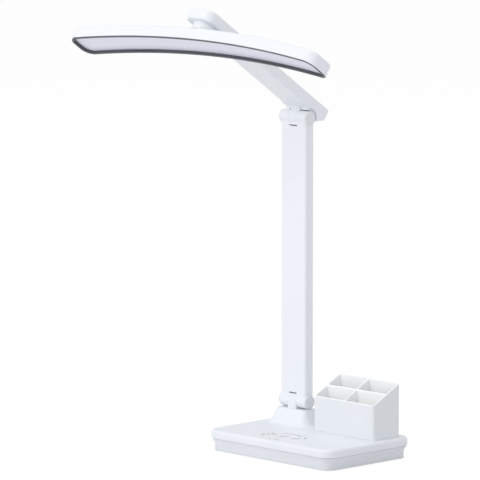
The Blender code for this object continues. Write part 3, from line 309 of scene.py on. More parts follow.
@dataclass(frozen=True)
class OpalSheet(Finish):
    """Opal diffuser sheet: satin, with the faint lines that extrusion leaves along it."""

    line_size: float = 0.0012
    line_stretch: Point = (0.02, 1.0, 1.0)
    line_share: float = 0.3
    line_roughness: float = 0.10
    line_depth: float = 0.00001
    cloud_scale: float = 22.0
    depth_weight: float = 0.08
    depth_radius: Triple = (0.002, 0.002, 0.0025)

    def dress(self, paint: Paint) -> None:
        """Draw the faint lines and the soft unevenness of the sheet."""
        lines = paint.noise(1 / self.line_size, stretch=self.line_stretch)
        tone = paint.noise(self.cloud_scale) * (1 - self.line_share) + lines * self.line_share
        paint.feed(Base_Color=paint.blend(tone, self.colour, self.shade),
                   Roughness=lines * self.line_roughness + self.roughness,
                   Subsurface_Weight=self.depth_weight, Subsurface_Radius=self.depth_radius)
        paint.bump(lines, self.line_depth)


@dataclass(frozen=True)
class Metal(Finish):
    """Turned or cast metal: fine scratches over an uneven tone."""

    scratch_size: float = 0.0004
    relief: float = 0.000015
    stretch: Point = (1.0, 1.0, 0.1)
    stain_scale: float = 60.0
    variation: float = 0.1

    def dress(self, paint: Paint) -> None:
        """Scratch the surface and stain it unevenly."""
        stain = paint.noise(self.stain_scale, detail=4.0)
        scratches = paint.noise(1 / self.scratch_size, detail=3.0, stretch=self.stretch)
        paint.feed(Base_Color=paint.blend(stain, self.colour, self.shade), Metallic=1.0,
                   Roughness=(scratches * (2 * self.variation)
                              + (self.roughness - self.variation) + stain * self.variation))
        paint.bump(scratches, self.relief)


@dataclass(frozen=True)
class Laminate(Finish):
    """Circuit board: solder resist over raised tracks, with small bare pads."""

    pad_colour: Colour = (0.75, 0.72, 0.62)
    pad_range: Pair = (0.07, 0.10)
    track_pitch: float = 0.0016
    track_stops: tuple[Pair, ...] = ((0.30, 0.0), (0.34, 1.0), (0.42, 1.0), (0.46, 0.0))
    cells_per_track: float = 0.2
    disorder: float = 0.6
    track_roughness: float = 0.08
    relief: float = 0.00004

    def dress(self, paint: Paint) -> None:
        """Draw tracks from a stepped pattern of cells, and pads where the cells are smallest."""
        cells = paint.node("TexVoronoi", {"distance": "CHEBYCHEV", "feature": "F1"}, {
            "Vector": paint.place(), "Scale": self.cells_per_track / self.track_pitch,
            "Randomness": self.disorder}, "Distance")
        tracks = paint.ramp(cells, *self.track_stops)
        pads = 1.0 - paint.rising(cells, *self.pad_range)
        plain = paint.blend(tracks, self.colour, self.shade)
        paint.feed(Base_Color=paint.blend(pads, plain, self.pad_colour), Metallic=pads,
                   Roughness=tracks * self.track_roughness + self.roughness)
        paint.bump(tracks + pads, self.relief)


@dataclass(frozen=True)
class SoftMaterial(Finish):
    """Rubber, foam or a lead's sheath: matt, with pores and a little dust."""

    pore_size: float = 0.0008
    pore_depth: float = 0.00005
    dust_scale: float = 70.0
    dust_range: Pair = (0.4, 0.75)
    dust_roughness: float = 0.08

    def dress(self, paint: Paint) -> None:
        """Open the pores and let dust lighten the surface a little."""
        pores = paint.node("TexVoronoi", {}, {
            "Vector": paint.place(), "Scale": 1 / self.pore_size}, "Distance")
        dust = paint.rising(paint.noise(self.dust_scale, detail=4.0), *self.dust_range)
        paint.feed(Base_Color=paint.blend(dust, self.colour, self.shade),
                   Roughness=dust * self.dust_roughness + self.roughness)
        paint.bump(pores, self.pore_depth)


FINISHES: dict[Slot, Finish] = {
    Slot.WHITE_SHELL: MouldedPlastic((0.835, 0.855, 0.895), (0.815, 0.835, 0.88), 0.42, 0.3),
    Slot.WHITE_ARM: MouldedPlastic((0.84, 0.86, 0.90), (0.82, 0.84, 0.885), 0.36),
    Slot.WHITE_HOLDER: MouldedPlastic((0.80, 0.82, 0.85), (0.78, 0.80, 0.835), 0.45, 0.4),
    Slot.PALE_DISC: MouldedPlastic((0.82, 0.84, 0.87), (0.80, 0.82, 0.855), 0.30, grain_depth=0.000006),
    Slot.DARK_FRAME: MouldedPlastic((0.075, 0.078, 0.092), (0.06, 0.063, 0.075), 0.42),
    Slot.OPAL_DIFFUSER: OpalSheet((0.84, 0.85, 0.95), (0.82, 0.83, 0.94), 0.34),
    Slot.GREY_CAP: MouldedPlastic((0.76, 0.775, 0.80), (0.73, 0.745, 0.775), 0.34),
    Slot.NYLON: MouldedPlastic((0.74, 0.74, 0.71), (0.70, 0.70, 0.67), 0.45),
    Slot.CAST_BALLAST: Metal((0.16, 0.16, 0.165), (0.09, 0.085, 0.08), 0.68,
                             scratch_size=0.0015, relief=0.0001, stretch=(1.0, 1.0, 1.0)),
    Slot.CIRCUIT_BOARD: Laminate((0.02, 0.16, 0.07), (0.03, 0.22, 0.10), 0.38),
    Slot.LED_BOARD: Laminate((0.80, 0.80, 0.78), (0.72, 0.72, 0.69), 0.42),
    Slot.LED: MouldedPlastic((0.93, 0.78, 0.30), (0.90, 0.70, 0.20), 0.25),
    Slot.BLACK_PLASTIC: MouldedPlastic((0.022, 0.022, 0.024), (0.03, 0.03, 0.032), 0.40),
    Slot.RUBBER: SoftMaterial((0.035, 0.035, 0.037), (0.075, 0.074, 0.072), 0.80),
    Slot.FOAM: SoftMaterial((0.12, 0.12, 0.13), (0.17, 0.17, 0.17), 0.92, pore_size=0.0012,
                            pore_depth=0.0003),
    Slot.LEAD: SoftMaterial((0.58, 0.58, 0.60), (0.64, 0.63, 0.62), 0.50, pore_depth=0.00001),
    Slot.STEEL: Metal((0.62, 0.62, 0.63), (0.50, 0.50, 0.52), 0.34),
}

# Paler copy of the holder's white for the insides of its wells: painted light against the shade in them
WELL_PAINTED_LIGHT = MouldedPlastic((0.95, 0.96, 0.965), (0.935, 0.945, 0.955), 0.45)
MARK_GREY = MouldedPlastic((0.25, 0.26, 0.30), (0.22, 0.23, 0.27), 0.45)

KEPT_SOLIDS: dict[Slot, tuple[str, ...]] = {
    Slot.CAST_BALLAST: ("ballast_plate",),
    Slot.STEEL: ("hinge_core", "left_core_screw", "right_core_screw", "left_board_screw",
                 "right_board_screw", "left_holder_screw", "right_holder_screw",
                 "lower_hinge_bolt", "lower_hinge_nut", "upper_hinge_bolt", "upper_hinge_nut",
                 "lower_arm_spine", "upper_arm_spine", "swivel_spindle", "swivel_washer",
                 "swivel_nut", "left_led_board_screw", "right_led_board_screw"),
    Slot.NYLON: ("lower_hinge_left_washer", "lower_hinge_right_washer",
                 "upper_hinge_left_washer", "upper_hinge_right_washer"),
    Slot.CIRCUIT_BOARD: ("control_board",),
    Slot.BLACK_PLASTIC: ("control_chip",),
    Slot.FOAM: ("touch_sensor_pad",),
    Slot.LED: ("indicator_led",),
    Slot.LED_BOARD: ("led_board",),
    Slot.LEAD: ("base_lead", "lower_arm_lead", "upper_arm_lead"),
}


# Forms


def in_scene(name: str, data: bpy.types.ID) -> bpy.types.Object:
    """A new object in the scene."""
    thing = bpy.data.objects.new(name, data)
    bpy.context.scene.collection.objects.link(thing)
    return thing


def spans(edge: bmesh.types.BMEdge, axis: int) -> bool:
    """Whether the ends of an edge lie at different levels along an axis."""
    return abs(edge.verts[0].co[axis] - edge.verts[1].co[axis]) > SAME


def lies_at(edge: bmesh.types.BMEdge, axis: int, level: float) -> bool:
    """Whether both ends of an edge lie at one level along an axis."""
    return all(abs(vert.co[axis] - level) < SAME for vert in edge.verts)


class Form:
    """A closed shape under work, in millimetres."""

    def __init__(self) -> None:
        """Start empty."""
        self.mesh = bmesh.new()

    @classmethod
    def slab(cls, width: float, depth: float, low: float, high: float, corner: float = 0.0,
             steps: int = CORNER_STEPS) -> Form:
        """Upright slab about the Z axis, its standing edges rounded.

        Args:
            width: size along X.
            depth: size along Y.
            low: height of the underside.
            high: height of the top.
            corner: radius of the standing edges; 0 leaves them square.
            steps: facets in each rounded corner.

        Returns:
            The form.
        """
        form = cls()
        bmesh.ops.create_cube(form.mesh, size=1)
        bmesh.ops.scale(form.mesh, vec=(width, depth, high - low), verts=form.mesh.verts)
        form.moved(z=(low + high) / 2)
        if corner > 0:
            form.rounded(lambda edge: spans(edge, Z), corner, steps)
        return form

    @classmethod
    def rod(cls, radius: float, low: float, high: float, sides: int = ROUND_SIDES) -> Form:
        """Upright round rod between two heights."""
        form = cls()
        bmesh.ops.create_cone(form.mesh, cap_ends=True, segments=sides, radius1=radius,
                              radius2=radius, depth=high - low)
        return form.moved(z=(low + high) / 2)

    @classmethod
    def pin(cls, radius: float, low: float, high: float) -> Form:
        """Upright rod with few sides, for screws, posts and their bores."""
        return cls.rod(radius, low, high, SMALL_SIDES)

    @classmethod
    def turned_on_lathe(cls, profile: Sequence[Pair], sides: int = ROUND_SIDES) -> Form:
        """Body of revolution about the Z axis.

        Args:
            profile: (radius, height) points; it closes on itself, or on the axis at radius 0.
            sides: facets round the axis.

        Returns:
            The form.
        """
        form = cls()
        points = [form.mesh.verts.new((radius, 0, height)) for radius, height in profile]
        first = 0 if profile[0][0] > 0 else 1
        pairs = [(points[i - 1], points[i]) for i in range(first, len(points))]
        edges = [form.mesh.edges.new(pair) for pair in pairs]
        bmesh.ops.spin(form.mesh, geom=points + edges, cent=(0, 0, 0), axis=(0, 0, 1),
                       angle=2 * pi, steps=sides, use_merge=True)
        bmesh.ops.remove_doubles(form.mesh, verts=form.mesh.verts, dist=SAME)
        return form.outward()

    @classmethod
    def turned_down(cls, top: float, profile: Iterable[Pair], sides: int = ROUND_SIDES) -> Form:
        """Body of revolution of (radius, depth under the top) points."""
        return cls.turned_on_lathe([(radius, top - depth) for radius, depth in profile], sides)

    @classmethod
    def prism(cls, outline: Sequence[Pair], width: float) -> Form:
        """Outline of (Y, Z) points, drawn out to a width about the middle of X."""
        form = cls()
        face = form.mesh.faces.new([form.mesh.verts.new((-width / 2, y, z)) for y, z in outline])
        form.pulled(face, (width, 0, 0))
        return form.outward()

    @classmethod
    def tongue(cls, radius: float, reach: float, width: float) -> Form:
        """Plate across X with a round top about the origin and flat flanks down to -reach."""
        form = along_x(cls.rod(radius, -width / 2, width / 2))
        form.sliced((0, 0, 0), (0, 0, -1))
        form.pulled(form.end_face(-1), (0, 0, -reach))
        return form

    @classmethod
    def gathered(cls, forms: Iterable[Form]) -> Form:
        """Several separate forms as one."""
        whole = cls()
        for form in forms:
            whole.take(form.as_mesh())
        return whole

    def take(self, mesh: bpy.types.Mesh) -> None:
        """Add the faces of a mesh, which is then thrown away."""
        self.mesh.from_mesh(mesh)
        bpy.data.meshes.remove(mesh)

    def as_mesh(self, name: str = "form") -> bpy.types.Mesh:
        """The form as a new mesh."""
        mesh = bpy.data.meshes.new(name)
        self.mesh.to_mesh(mesh)
        return mesh

    def outward(self) -> Form:
        """Turn every face outwards."""
        bmesh.ops.recalc_face_normals(self.mesh, faces=self.mesh.faces)
        return self

    def moved(self, x: float = 0, y: float = 0, z: float = 0) -> Form:
        """Shift the form."""
        bmesh.ops.translate(self.mesh, vec=(x, y, z), verts=self.mesh.verts)
        return self

    def turned(self, degrees: float, axis: str) -> Form:
        """Turn the form about an axis through the origin."""
        bmesh.ops.rotate(self.mesh, cent=(0, 0, 0), verts=self.mesh.verts,
                         matrix=Matrix.Rotation(radians(degrees), 3, axis))
        return self

    def rounded(self, choose: Callable[[bmesh.types.BMEdge], bool], radius: float, steps: int) -> Form:
        """Round the edges that a test chooses, with a number of facets."""
        bmesh.ops.bevel(self.mesh, geom=[edge for edge in self.mesh.edges if choose(edge)],
                        offset=radius, segments=steps, profile=0.5, affect="EDGES", material=-1)
        return self

    def rounded_rim(self, level: float, radius: float, steps: int = FINE_STEPS) -> Form:
        """Round the outline that lies at one height."""
        return self.rounded(lambda edge: lies_at(edge, Z, level)
                            and edge.calc_face_angle(0.0) > radians(SMOOTH_ANGLE), radius, steps)

    def end_face(self, sign: int) -> bmesh.types.BMFace:
        """The highest face, or the lowest one for a negative sign."""
        return max(self.mesh.faces, key=lambda face: sign * face.calc_center_median().z)

    def pulled(self, face: bmesh.types.BMFace, offset: Point) -> list[bmesh.types.BMVert]:
        """Draw one face out by an offset and give back its new corners."""
        grown = bmesh.ops.extrude_face_region(self.mesh, geom=[face, *face.edges])
        fresh = [item for item in grown["geom"] if isinstance(item, bmesh.types.BMVert)]
        bmesh.ops.translate(self.mesh, vec=offset, verts=fresh)
        return fresh

    def rimmed(self, radius: float, slope: float, grow: int) -> Form:
        """Draw the sloping top out by a quarter round, and a tool's top a little further.

        Args:
            radius: how high and how wide the quarter round is.
            slope: how much the top rises per unit of Y.
            grow: 1 where the outline widens on the way up, as a tool's, and -1 where it narrows.

        Returns:
            The form.
        """
        width, depth = (max(vert.co[axis] for vert in self.mesh.verts) for axis in (X, Y))
        before = 0.0
        face = self.end_face(1)
        for step in range(1, EDGE_STEPS + 1):
            angle = pi / 2 * step / EDGE_STEPS
            side = grow * radius * (1 - cos(angle))
            fresh = self.pulled(face, (0, 0, 0))
            stretch = Vector(((width + side) / (width + before),
                              (depth + side) / (depth + before), 1))
            rise = radius * (sin(angle) - sin(angle - pi / 2 / EDGE_STEPS))
            for vert in fresh:
                y = vert.co.y
                vert.co *= stretch
                vert.co.z += rise + slope * (vert.co.y - y)
            before = side
            face = max(fresh[0].link_faces, key=lambda item: len(item.verts))
        if grow > 0:
            self.pulled(face, (0, 0, OVERRUN))
        return self

    def stepped_out(self, sign: int, inset: float, rise: float) -> Form:
        """Draw a tapering step out of the top or bottom face."""
        face = self.end_face(sign)
        bmesh.ops.inset_region(self.mesh, faces=[face], thickness=inset, use_even_offset=True)
        bmesh.ops.translate(self.mesh, vec=(0, 0, sign * rise), verts=face.verts)
        return self

    def split(self, point: Point, normal: Point, clear: bool = False) -> list[object]:
        """Divide the faces at a plane, clear what lies beyond it if told, and give the cut."""
        everything = self.mesh.verts[:] + self.mesh.edges[:] + self.mesh.faces[:]
        return bmesh.ops.bisect_plane(self.mesh, geom=everything, plane_co=point,
                                      plane_no=normal, clear_outer=clear, dist=SAME)["geom_cut"]

    def sliced(self, point: Point, normal: Point) -> Form:
        """Cut away what lies beyond a plane, and close the cut."""
        rim = [item for item in self.split(point, normal, clear=True)
               if isinstance(item, bmesh.types.BMEdge)]
        bmesh.ops.contextual_create(self.mesh, geom=rim)
        return self

    def worked(self, operation: Operation, tools: Iterable[Form]) -> Form:
        """Join tools to the form, or cut them out of it, with exact Booleans.

        Args:
            operation: what is done with the tools.
            tools: the other forms, one after the other.

        Returns:
            The form.
        """
        for tool in tools:
            target, helper = pair = [in_scene("work", form.outward().as_mesh())
                                     for form in (self, tool)]
            boolean = target.modifiers.new("boolean", "BOOLEAN")
            boolean.operation = operation.value
            boolean.solver = "EXACT"
            boolean.object = helper
            graph = bpy.context.evaluated_depsgraph_get()
            result = bpy.data.meshes.new_from_object(target.evaluated_get(graph))
            self.mesh.clear()
            self.take(result)
            for thing in pair:
                mesh = thing.data
                bpy.data.objects.remove(thing)
                bpy.data.meshes.remove(mesh)
            bmesh.ops.remove_doubles(self.mesh, verts=self.mesh.verts, dist=SAME / 5)
        return self

    def joined(self, *tools: Form) -> Form:
        """Join other forms to this one."""
        return self.worked(Operation.JOIN, tools)

    def cut(self, *tools: Form) -> Form:
        """Cut other forms out of this one."""
        return self.worked(Operation.CUT, tools)

    def posted(self, post: Rod, bore: Rod, place: Point) -> Form:
        """Join an upright post to the form and drill it."""
        self.joined(Form.pin(*post).moved(*place))
        return self.cut(Form.pin(*bore).moved(*place))


def along_x(form: Form, side: int = 1) -> Form:
    """Lay an upright form along X, its top to the right, or to the left for side -1."""
    return form.turned(side * 90, "Y")


def along_y(form: Form) -> Form:
    """Lay an upright form along Y, its top to the back."""
    return form.turned(-90, "X")


def eased(radius: float, level: float, edge: float) -> list[Pair]:
    """Profile points over an eased corner at a face above, or below for a negative edge."""
    return [(radius - abs(edge) * across, level - edge * along)
            for across, along in ((0, 1), (EASE, EASE), (1, 0))]


@dataclass(frozen=True)
class Screw:
    """Upright screw with a low domed head and a cross recess; shares are of its own sizes."""

    shaft: float
    head: float
    point_radius: float = 0.7
    point_rise: float = 0.5
    dome: tuple[Pair, ...] = ((1.0, 0.45), (0.93, 0.2), (0.78, 0.0))
    cross_length: float = 1.15
    cross_width: float = 0.26
    cross_depth: float = 0.55

    def form(self, tip: float, seat: float, top: float) -> Form:
        """Turn the screw and cut its recess.

        Args:
            tip: height of the shaft's end.
            seat: height of the head's underside.
            top: height of the head's top.

        Returns:
            The form.
        """
        rise = top - seat
        body = Form.turned_on_lathe([
            (0, tip), (self.shaft * self.point_radius, tip),
            (self.shaft, tip + self.shaft * self.point_rise), (self.shaft, seat), (self.head, seat),
            *((self.head * share, top - rise * drop) for share, drop in self.dome), (0, top)],
            SMALL_SIDES)
        long, short = self.head * self.cross_length, self.head * self.cross_width
        floor = top - rise * self.cross_depth
        return body.cut(Form.slab(long, short, floor, top + OVERRUN),
                        Form.slab(short, long, floor, top + OVERRUN))


# Pieces


@dataclass
class Assembly:
    """Pieces that move with one body, drawn in millimetres in a frame of their own."""

    body = Body.BASE

    materials: dict[Slot, bpy.types.Material]
    frame: Matrix

    def show(self, name: str, form: Form, slot: Slot, added: bool = False,
             material: bpy.types.Material | None = None) -> bpy.types.Mesh:
        """Make a piece of a form.

        Args:
            name: the piece's name, and the name of the node that it stands for.
            form: the shape in the assembly's frame.
            slot: the record's slot that its finish comes from.
            added: whether it is a new piece, which stands for no node.
            material: a finish of its own instead of the slot's.

        Returns:
            The piece's mesh.
        """
        bmesh.ops.transform(form.mesh, matrix=self.frame, verts=form.mesh.verts)
        bmesh.ops.dissolve_degenerate(form.mesh, edges=form.mesh.edges, dist=SAME / 10)
        form.outward()
        bmesh.ops.scale(form.mesh, vec=(MM, MM, MM), verts=form.mesh.verts)
        mesh = form.as_mesh(f"{name}_visual")
        mesh.shade_smooth()
        mesh.set_sharp_from_angle(angle=radians(SMOOTH_ANGLE))
        mesh.materials.append(material or self.materials[slot])
        piece = in_scene(f"{name}_visual", mesh)
        piece.modifiers.new("even_shading", "WEIGHTED_NORMAL").keep_sharp = True
        if not added:
            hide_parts(name)
        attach(piece, self.body.value)
        LOG.info("%s: %d faces, rides on %s", piece.name, len(mesh.polygons), self.body.value)
        return mesh


def repaint(nodes: dict[str, bpy.types.Object], materials: dict[Slot, bpy.types.Material]) -> None:
    """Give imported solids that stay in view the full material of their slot.

    Args:
        nodes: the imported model's objects by name.
        materials: the finished materials.
    """
    for slot, names in KEPT_SOLIDS.items():
        for name in names:
            slots = nodes[name].data.materials
            for index in range(len(slots)):
                slots[index] = materials[slot]
            LOG.info("%s: solid kept, finish %s", name, slot.value)


@dataclass
class Hinge:
    """Sizes that both hinges share, in millimetres."""

    barrel: float = 8.0
    shy: float = 0.2
    lug: float = 13.0
    lug_edge: float = 0.12
    play: float = 0.1
    slit: float = 1.3
    slit_depth: float = 3.0
    slit_below: float = 9.0
    slit_above: float = 9.4
    upper_lug: float = 7.3
    washer: float = 0.5
    washer_radius: float = 6.5
    bolt: float = 2.8
    seat: float = 5.8
    seat_depth: float = 5.0
    cap: float = 2.05
    cap_foot_edge: float = 0.1
    spigot: float = 1.3
    spigot_edge: float = 0.3
    edge: float = 1.3
    dish_share: float = 0.72
    dish_flank: float = 0.25
    dish_depth: float = 0.18
    fairing_start: float = 31.0
    fairing_end: float = 12.0

    def bore(self, width: float) -> Form:
        """Cutter for the bolt's bore across X."""
        return along_x(Form.pin(self.bolt + GAP, -width / 2 - OVERRUN, width / 2 + OVERRUN))

    def lug_form(self, radius: float, reach: float) -> Form:
        """The lug between the lobes, its outline softened on both faces.

        Args:
            radius: radius of its round top.
            reach: how far its flanks run down from the axis.

        Returns:
            The form.
        """
        form = Form.tongue(radius, reach, self.lug)
        for side in SIDES:
            form.rounded(lambda edge, level=side * self.lug / 2: lies_at(edge, X, level) and all(
                vert.co.z > SAME - reach for vert in edge.verts), self.lug_edge, FINE_STEPS)
        return form

    def fairing(self, face: float) -> list[Pair]:
        """Soft line in (Y, Z) from the barrel's front to the arm's front face.

        Args:
            face: how far the front face is before the axis.

        Returns:
            The line's points, upwards.
        """
        angle = radians(self.fairing_start)
        radius = self.barrel - SAME
        start = Vector((-radius * cos(angle), radius * sin(angle)))
        bend = Vector((-face, start.y + (-face - start.x) / tan(angle)))
        end = Vector((-face, self.fairing_end))
        shares = [step / CORNER_STEPS for step in range(CORNER_STEPS + 1)]
        points = [start * (1 - share) ** 2 + bend * 2 * share * (1 - share) + end * share ** 2
                  for share in shares]
        return [(point.x, point.y) for point in points]

    def cap_form(self, rim: float) -> Form:
        """Cap with a round edge and a shallow dish, its spigot towards -Z.

        Args:
            rim: level of the barrel's end.

        Returns:
            The form.
        """
        top, foot = rim + self.cap, rim - self.spigot
        spigot, lead = self.seat - GAP, self.spigot_edge
        radius, ease = self.barrel, self.cap_foot_edge
        profile = [(0, foot), (spigot - lead, foot), (spigot, foot + lead), (spigot, rim),
                   (radius - ease, rim), (radius, rim + ease)]
        for step in range(EDGE_STEPS + 1):
            angle = pi / 2 * step / EDGE_STEPS
            profile.append((radius - self.edge * (1 - cos(angle)), top - self.edge * (1 - sin(angle))))
        dish, floor = radius * self.dish_share, top - self.dish_depth
        profile += [(dish + self.dish_flank, top), (dish, floor), (0, floor)]
        return Form.turned_on_lathe(profile)


@dataclass
class PenHolder(Assembly):
    """Pen holder with four wells under a sloping rim."""

    centre: Pair = (42.7, 34.3)
    size: Pair = (96.7, 43.5)
    low: float = 24.75
    foot_edge: float = 0.1
    front: float = 64.6
    back: float = 87.0
    corner: float = 4.0
    wall: float = 2.0
    divider: float = 1.7
    floor: float = 29.0
    floor_edge: float = 0.9
    well_corner: float = 1.2
    rim: float = 0.45
    screws: Pair = (11.7, 73.7)
    bore: float = 1.6
    bore_top: float = 28.1

    def build(self) -> None:
        """Cut the wells out of the block and soften every rim."""
        width, depth = self.size
        slope = (self.back - self.front) / depth
        middle = (self.front + self.back) / 2 - self.rim
        form = Form.slab(width, depth, self.low, self.back + OVERRUN, self.corner)
        form.rounded_rim(self.low, self.foot_edge)
        form.sliced((0, 0, middle), (0, -slope, 1))
        form.rimmed(self.rim, slope, -1)
        well_width = (width - 2 * self.wall - self.divider) / 2
        well_depth = (depth - 2 * self.wall - self.divider) / 2
        wells = []
        for side in SIDES:
            for end in SIDES:
                x = side * (well_width + self.divider) / 2
                y = end * (well_depth + self.divider) / 2
                well = Form.slab(well_width, well_depth, self.floor, self.back + OVERRUN,
                                 self.well_corner, EDGE_STEPS)
                well.rounded_rim(self.floor, self.floor_edge, SOFT_STEPS)
                well.sliced((0, 0, middle + slope * y), (0, -slope, 1))
                wells.append(well.rimmed(self.rim, slope, 1).moved(x, y))
        form.cut(Form.gathered(wells))
        for x in self.screws:
            form.cut(Form.pin(self.bore, self.low - OVERRUN, self.bore_top).moved(x - self.centre[0]))
        self.paint_light_in_wells(self.show("pen_holder", form.moved(*self.centre), Slot.WHITE_HOLDER))

    def paint_light_in_wells(self, mesh: bpy.types.Mesh) -> None:
        """Give the insides of the wells a paler copy of the holder's white: painted light that lifts
        the shade in them.

        Args:
            mesh: the holder's mesh.
        """
        mesh.materials.append(WELL_PAINTED_LIGHT.material("well_painted_light"))
        reach = [side / 2 - self.wall + self.rim for side in self.size]
        for face in mesh.polygons:
            centre = face.center / MM
            if centre.z > self.floor - self.rim and all(
                    abs(centre[axis] - self.centre[axis]) < reach[axis] for axis in (X, Y)):
                face.material_index = 1


@dataclass
class Base(Assembly):
    """Weighted base: top shell with its neck, tray, pad, touch control and socket."""

    hinge: Hinge
    holder: PenHolder
    width: float = 200.0
    depth: float = 137.0
    corner: float = 17.0
    corner_steps: int = 16
    edge: float = 3.5
    height: float = 24.7
    seam: float = 15.2
    seam_edge: float = 0.35
    ceiling: float = 21.7
    side_wall: float = 2.4
    tray_step: float = 0.7
    tray_inset: float = 3.4
    taper_start: float = 14.5
    taper_end: float = 9.0
    taper_edge: float = 2.2
    tray_bottom: float = 0.6
    tray_edge: float = 0.3
    tray_floor: float = 3.0
    # Width, depth and corner of the pad, of the neck's foot and of the socket's block
    pad: Triple = (160.0, 114.0, 8.0)
    pad_recess: float = 1.4
    pad_edge: float = 0.4
    groove_pitch: float = 8.0
    groove_width: float = 1.2
    groove_depth: float = 0.5
    counterbore: Pair = (2.9, 1.9)
    axis: Point = (-53.7, 33.1, 51.7)
    neck: Triple = (73.0, 48.0, 18.0)
    neck_top: float = 42.9
    neck_inset: float = 13.5
    neck_edge: float = 0.8
    # Shares of the neck's rise and inset that each step reaches
    neck_flare: tuple[Pair, ...] = (
        (0.006, 0.05), (0.02, 0.12), (0.056, 0.21), (0.113, 0.31), (0.20, 0.41), (0.33, 0.525),
        (0.47, 0.637), (0.69, 0.79), (0.84, 0.89), (1.0, 1.0))
    # Width, depth and top of the hollows for the hinge core
    core_foot: Triple = (32.0, 11.0, 37.6)
    core_stem: Triple = (6.8, 10.6, 57.5)
    posts: Pair = (86.0, 54.0)
    post_radius: float = 3.4
    post_bore: float = 1.5
    post_bore_top: float = 14.8
    screw: Screw = Screw(1.2, 2.6)
    # Levels of a closing screw's tip, seat and top, upside down
    screw_levels: Triple = (-14.5, -1.6, -0.6)
    # Place of the board's middle, and how far its screws are to each side
    board: Triple = (19.0, -32.0, 59.0)
    board_post: Pair = (2.6, 18.9)
    board_bore: Rod = (1.1, 18.6, 21.5)
    # Place and radius of the touch disc
    touch: Triple = (-4.0, -37.0, 25.0)
    touch_floor: float = 23.3
    disc: float = 1.1
    disc_edge: float = 0.2
    disc_steps: int = 128
    ring_inset: float = 1.5
    ring_width: float = 0.5
    ring_flank: float = 0.1
    ring_depth: float = 0.12
    print_levels: Pair = (-0.04, 0.02)
    indicator: Pair = (72.0, -8.0)
    indicator_bore: float = 1.4
    # Profiles of the lens under the base's top, and of the socket inwards from its nose
    lens: tuple[Pair, ...] = ((0, 4.3), (2.2, 4.3), (2.2, 3.3), (1.1, 3.3), (1.1, 0.2),
                              (1.0, 0.06), (0.8, 0), (0, 0))
    socket: Pair = (20.0, 9.0)
    socket_levels: Triple = (50.5, 60.3, 65.2)
    socket_block: Triple = (9.2, 9.4, 0.8)
    socket_barrel: tuple[Pair, ...] = ((0, 5.9), (3.9, 5.9), (3.9, 0.3), (3.6, 0), (0, 0))
    socket_hole: tuple[Pair, ...] = ((0, 10), (3.1, 10), (3.1, 0.5), (3.5, -0.1), (3.5, -1),
                                     (0, -1))
    socket_opening: Rod = (4.2, 50.5, 80.0)
    socket_pin: tuple[Pair, ...] = ((0, 10.5), (0.6, 10.5), (0.6, 1.6), (0.35, 1.2), (0, 1.1))

    def build(self) -> None:
        """Make every piece of the base."""
        self.build_top()
        self.build_tray()
        self.build_pad()
        self.build_touch()
        self.build_socket()

    def corners(self) -> dict[str, Point]:
        """Where the screws close the base."""
        x, y = self.posts
        return {f"{row}_{label}": (side * x, end * y, 0)
                for row, end in (("front", -1), ("back", 1)) for label, side in NAMED_SIDES}

    def neck_form(self) -> Form:
        """The neck, flared into the plate by small steps."""
        width, depth, corner = self.neck
        form = Form.slab(width, depth, self.height - OVERRUN, self.height, corner)
        before = (0.0, 0.0)
        for now in self.neck_flare:
            form.stepped_out(1, (now[1] - before[1]) * self.neck_inset,
                             (now[0] - before[0]) * (self.neck_top - self.height))
            before = now
        form.rounded_rim(self.neck_top, self.neck_edge, SOFT_STEPS)
        return form.moved(*self.axis[:2])

    def build_top(self) -> None:
        """Top shell: plate, neck and lug, hollow underneath."""
        x, y, z = self.axis
        under, inside, over = self.ceiling - OVERRUN, self.ceiling + OVERRUN, self.height + OVERRUN
        form = Form.slab(self.width, self.depth, self.seam, self.height, self.corner, self.corner_steps)
        form.rounded_rim(self.height, self.edge, WIDE_STEPS)
        form.rounded_rim(self.seam, self.seam_edge)
        lug = self.hinge.lug_form(self.hinge.barrel, z - self.height)
        form.joined(self.neck_form(), lug.moved(x, y, z))
        wall = 2 * self.side_wall
        foot_width, foot_depth, foot_top = self.core_foot
        stem_width, stem_depth, stem_top = self.core_stem
        form.cut(Form.slab(self.width - wall, self.depth - wall, self.seam - OVERRUN,
                           self.ceiling, self.corner - self.side_wall),
                 Form.slab(foot_width, foot_depth, under, foot_top).moved(x, y),
                 Form.slab(stem_width, stem_depth, foot_top - OVERRUN, stem_top).moved(x, y),
                 self.hinge.bore(self.hinge.lug).moved(x, y, z))
        touch_x, touch_y, radius = self.touch
        form.cut(Form.rod(radius + GAP, self.touch_floor, over).moved(touch_x, touch_y),
                 Form.pin(self.indicator_bore, under, over).moved(*self.indicator))
        for place in self.corners().values():
            form.posted((self.post_radius, self.tray_floor + GAP, inside),
                        (self.post_bore, self.tray_floor, self.post_bore_top), place)
        board_x, board_y, reach = self.board
        for side in SIDES:
            form.posted((*self.board_post, inside), self.board_bore,
                        (board_x + side * reach, board_y, 0))
        for screw_x in self.holder.screws:
            form.cut(Form.pin(self.holder.bore, under, over).moved(screw_x, self.holder.centre[1]))
        self.show("base_top", form, Slot.WHITE_SHELL)

    def tray_form(self, shrink: float, low: float, high: float) -> Form:
        """The tapered tray as a solid.

        Args:
            shrink: how far it is drawn in all round.
            low: height of its underside.
            high: height of its top.

        Returns:
            The form.
        """
        off = 2 * (self.tray_step + shrink)
        form = Form.slab(self.width - off, self.depth - off, self.taper_start, high,
                         self.corner - off / 2, self.corner_steps)
        form.stepped_out(-1, self.tray_inset, self.taper_start - self.taper_end)
        form.pulled(form.end_face(-1), (0, 0, low - self.taper_end))
        return form.rounded_rim(self.taper_end, self.taper_edge, SOFT_STEPS)

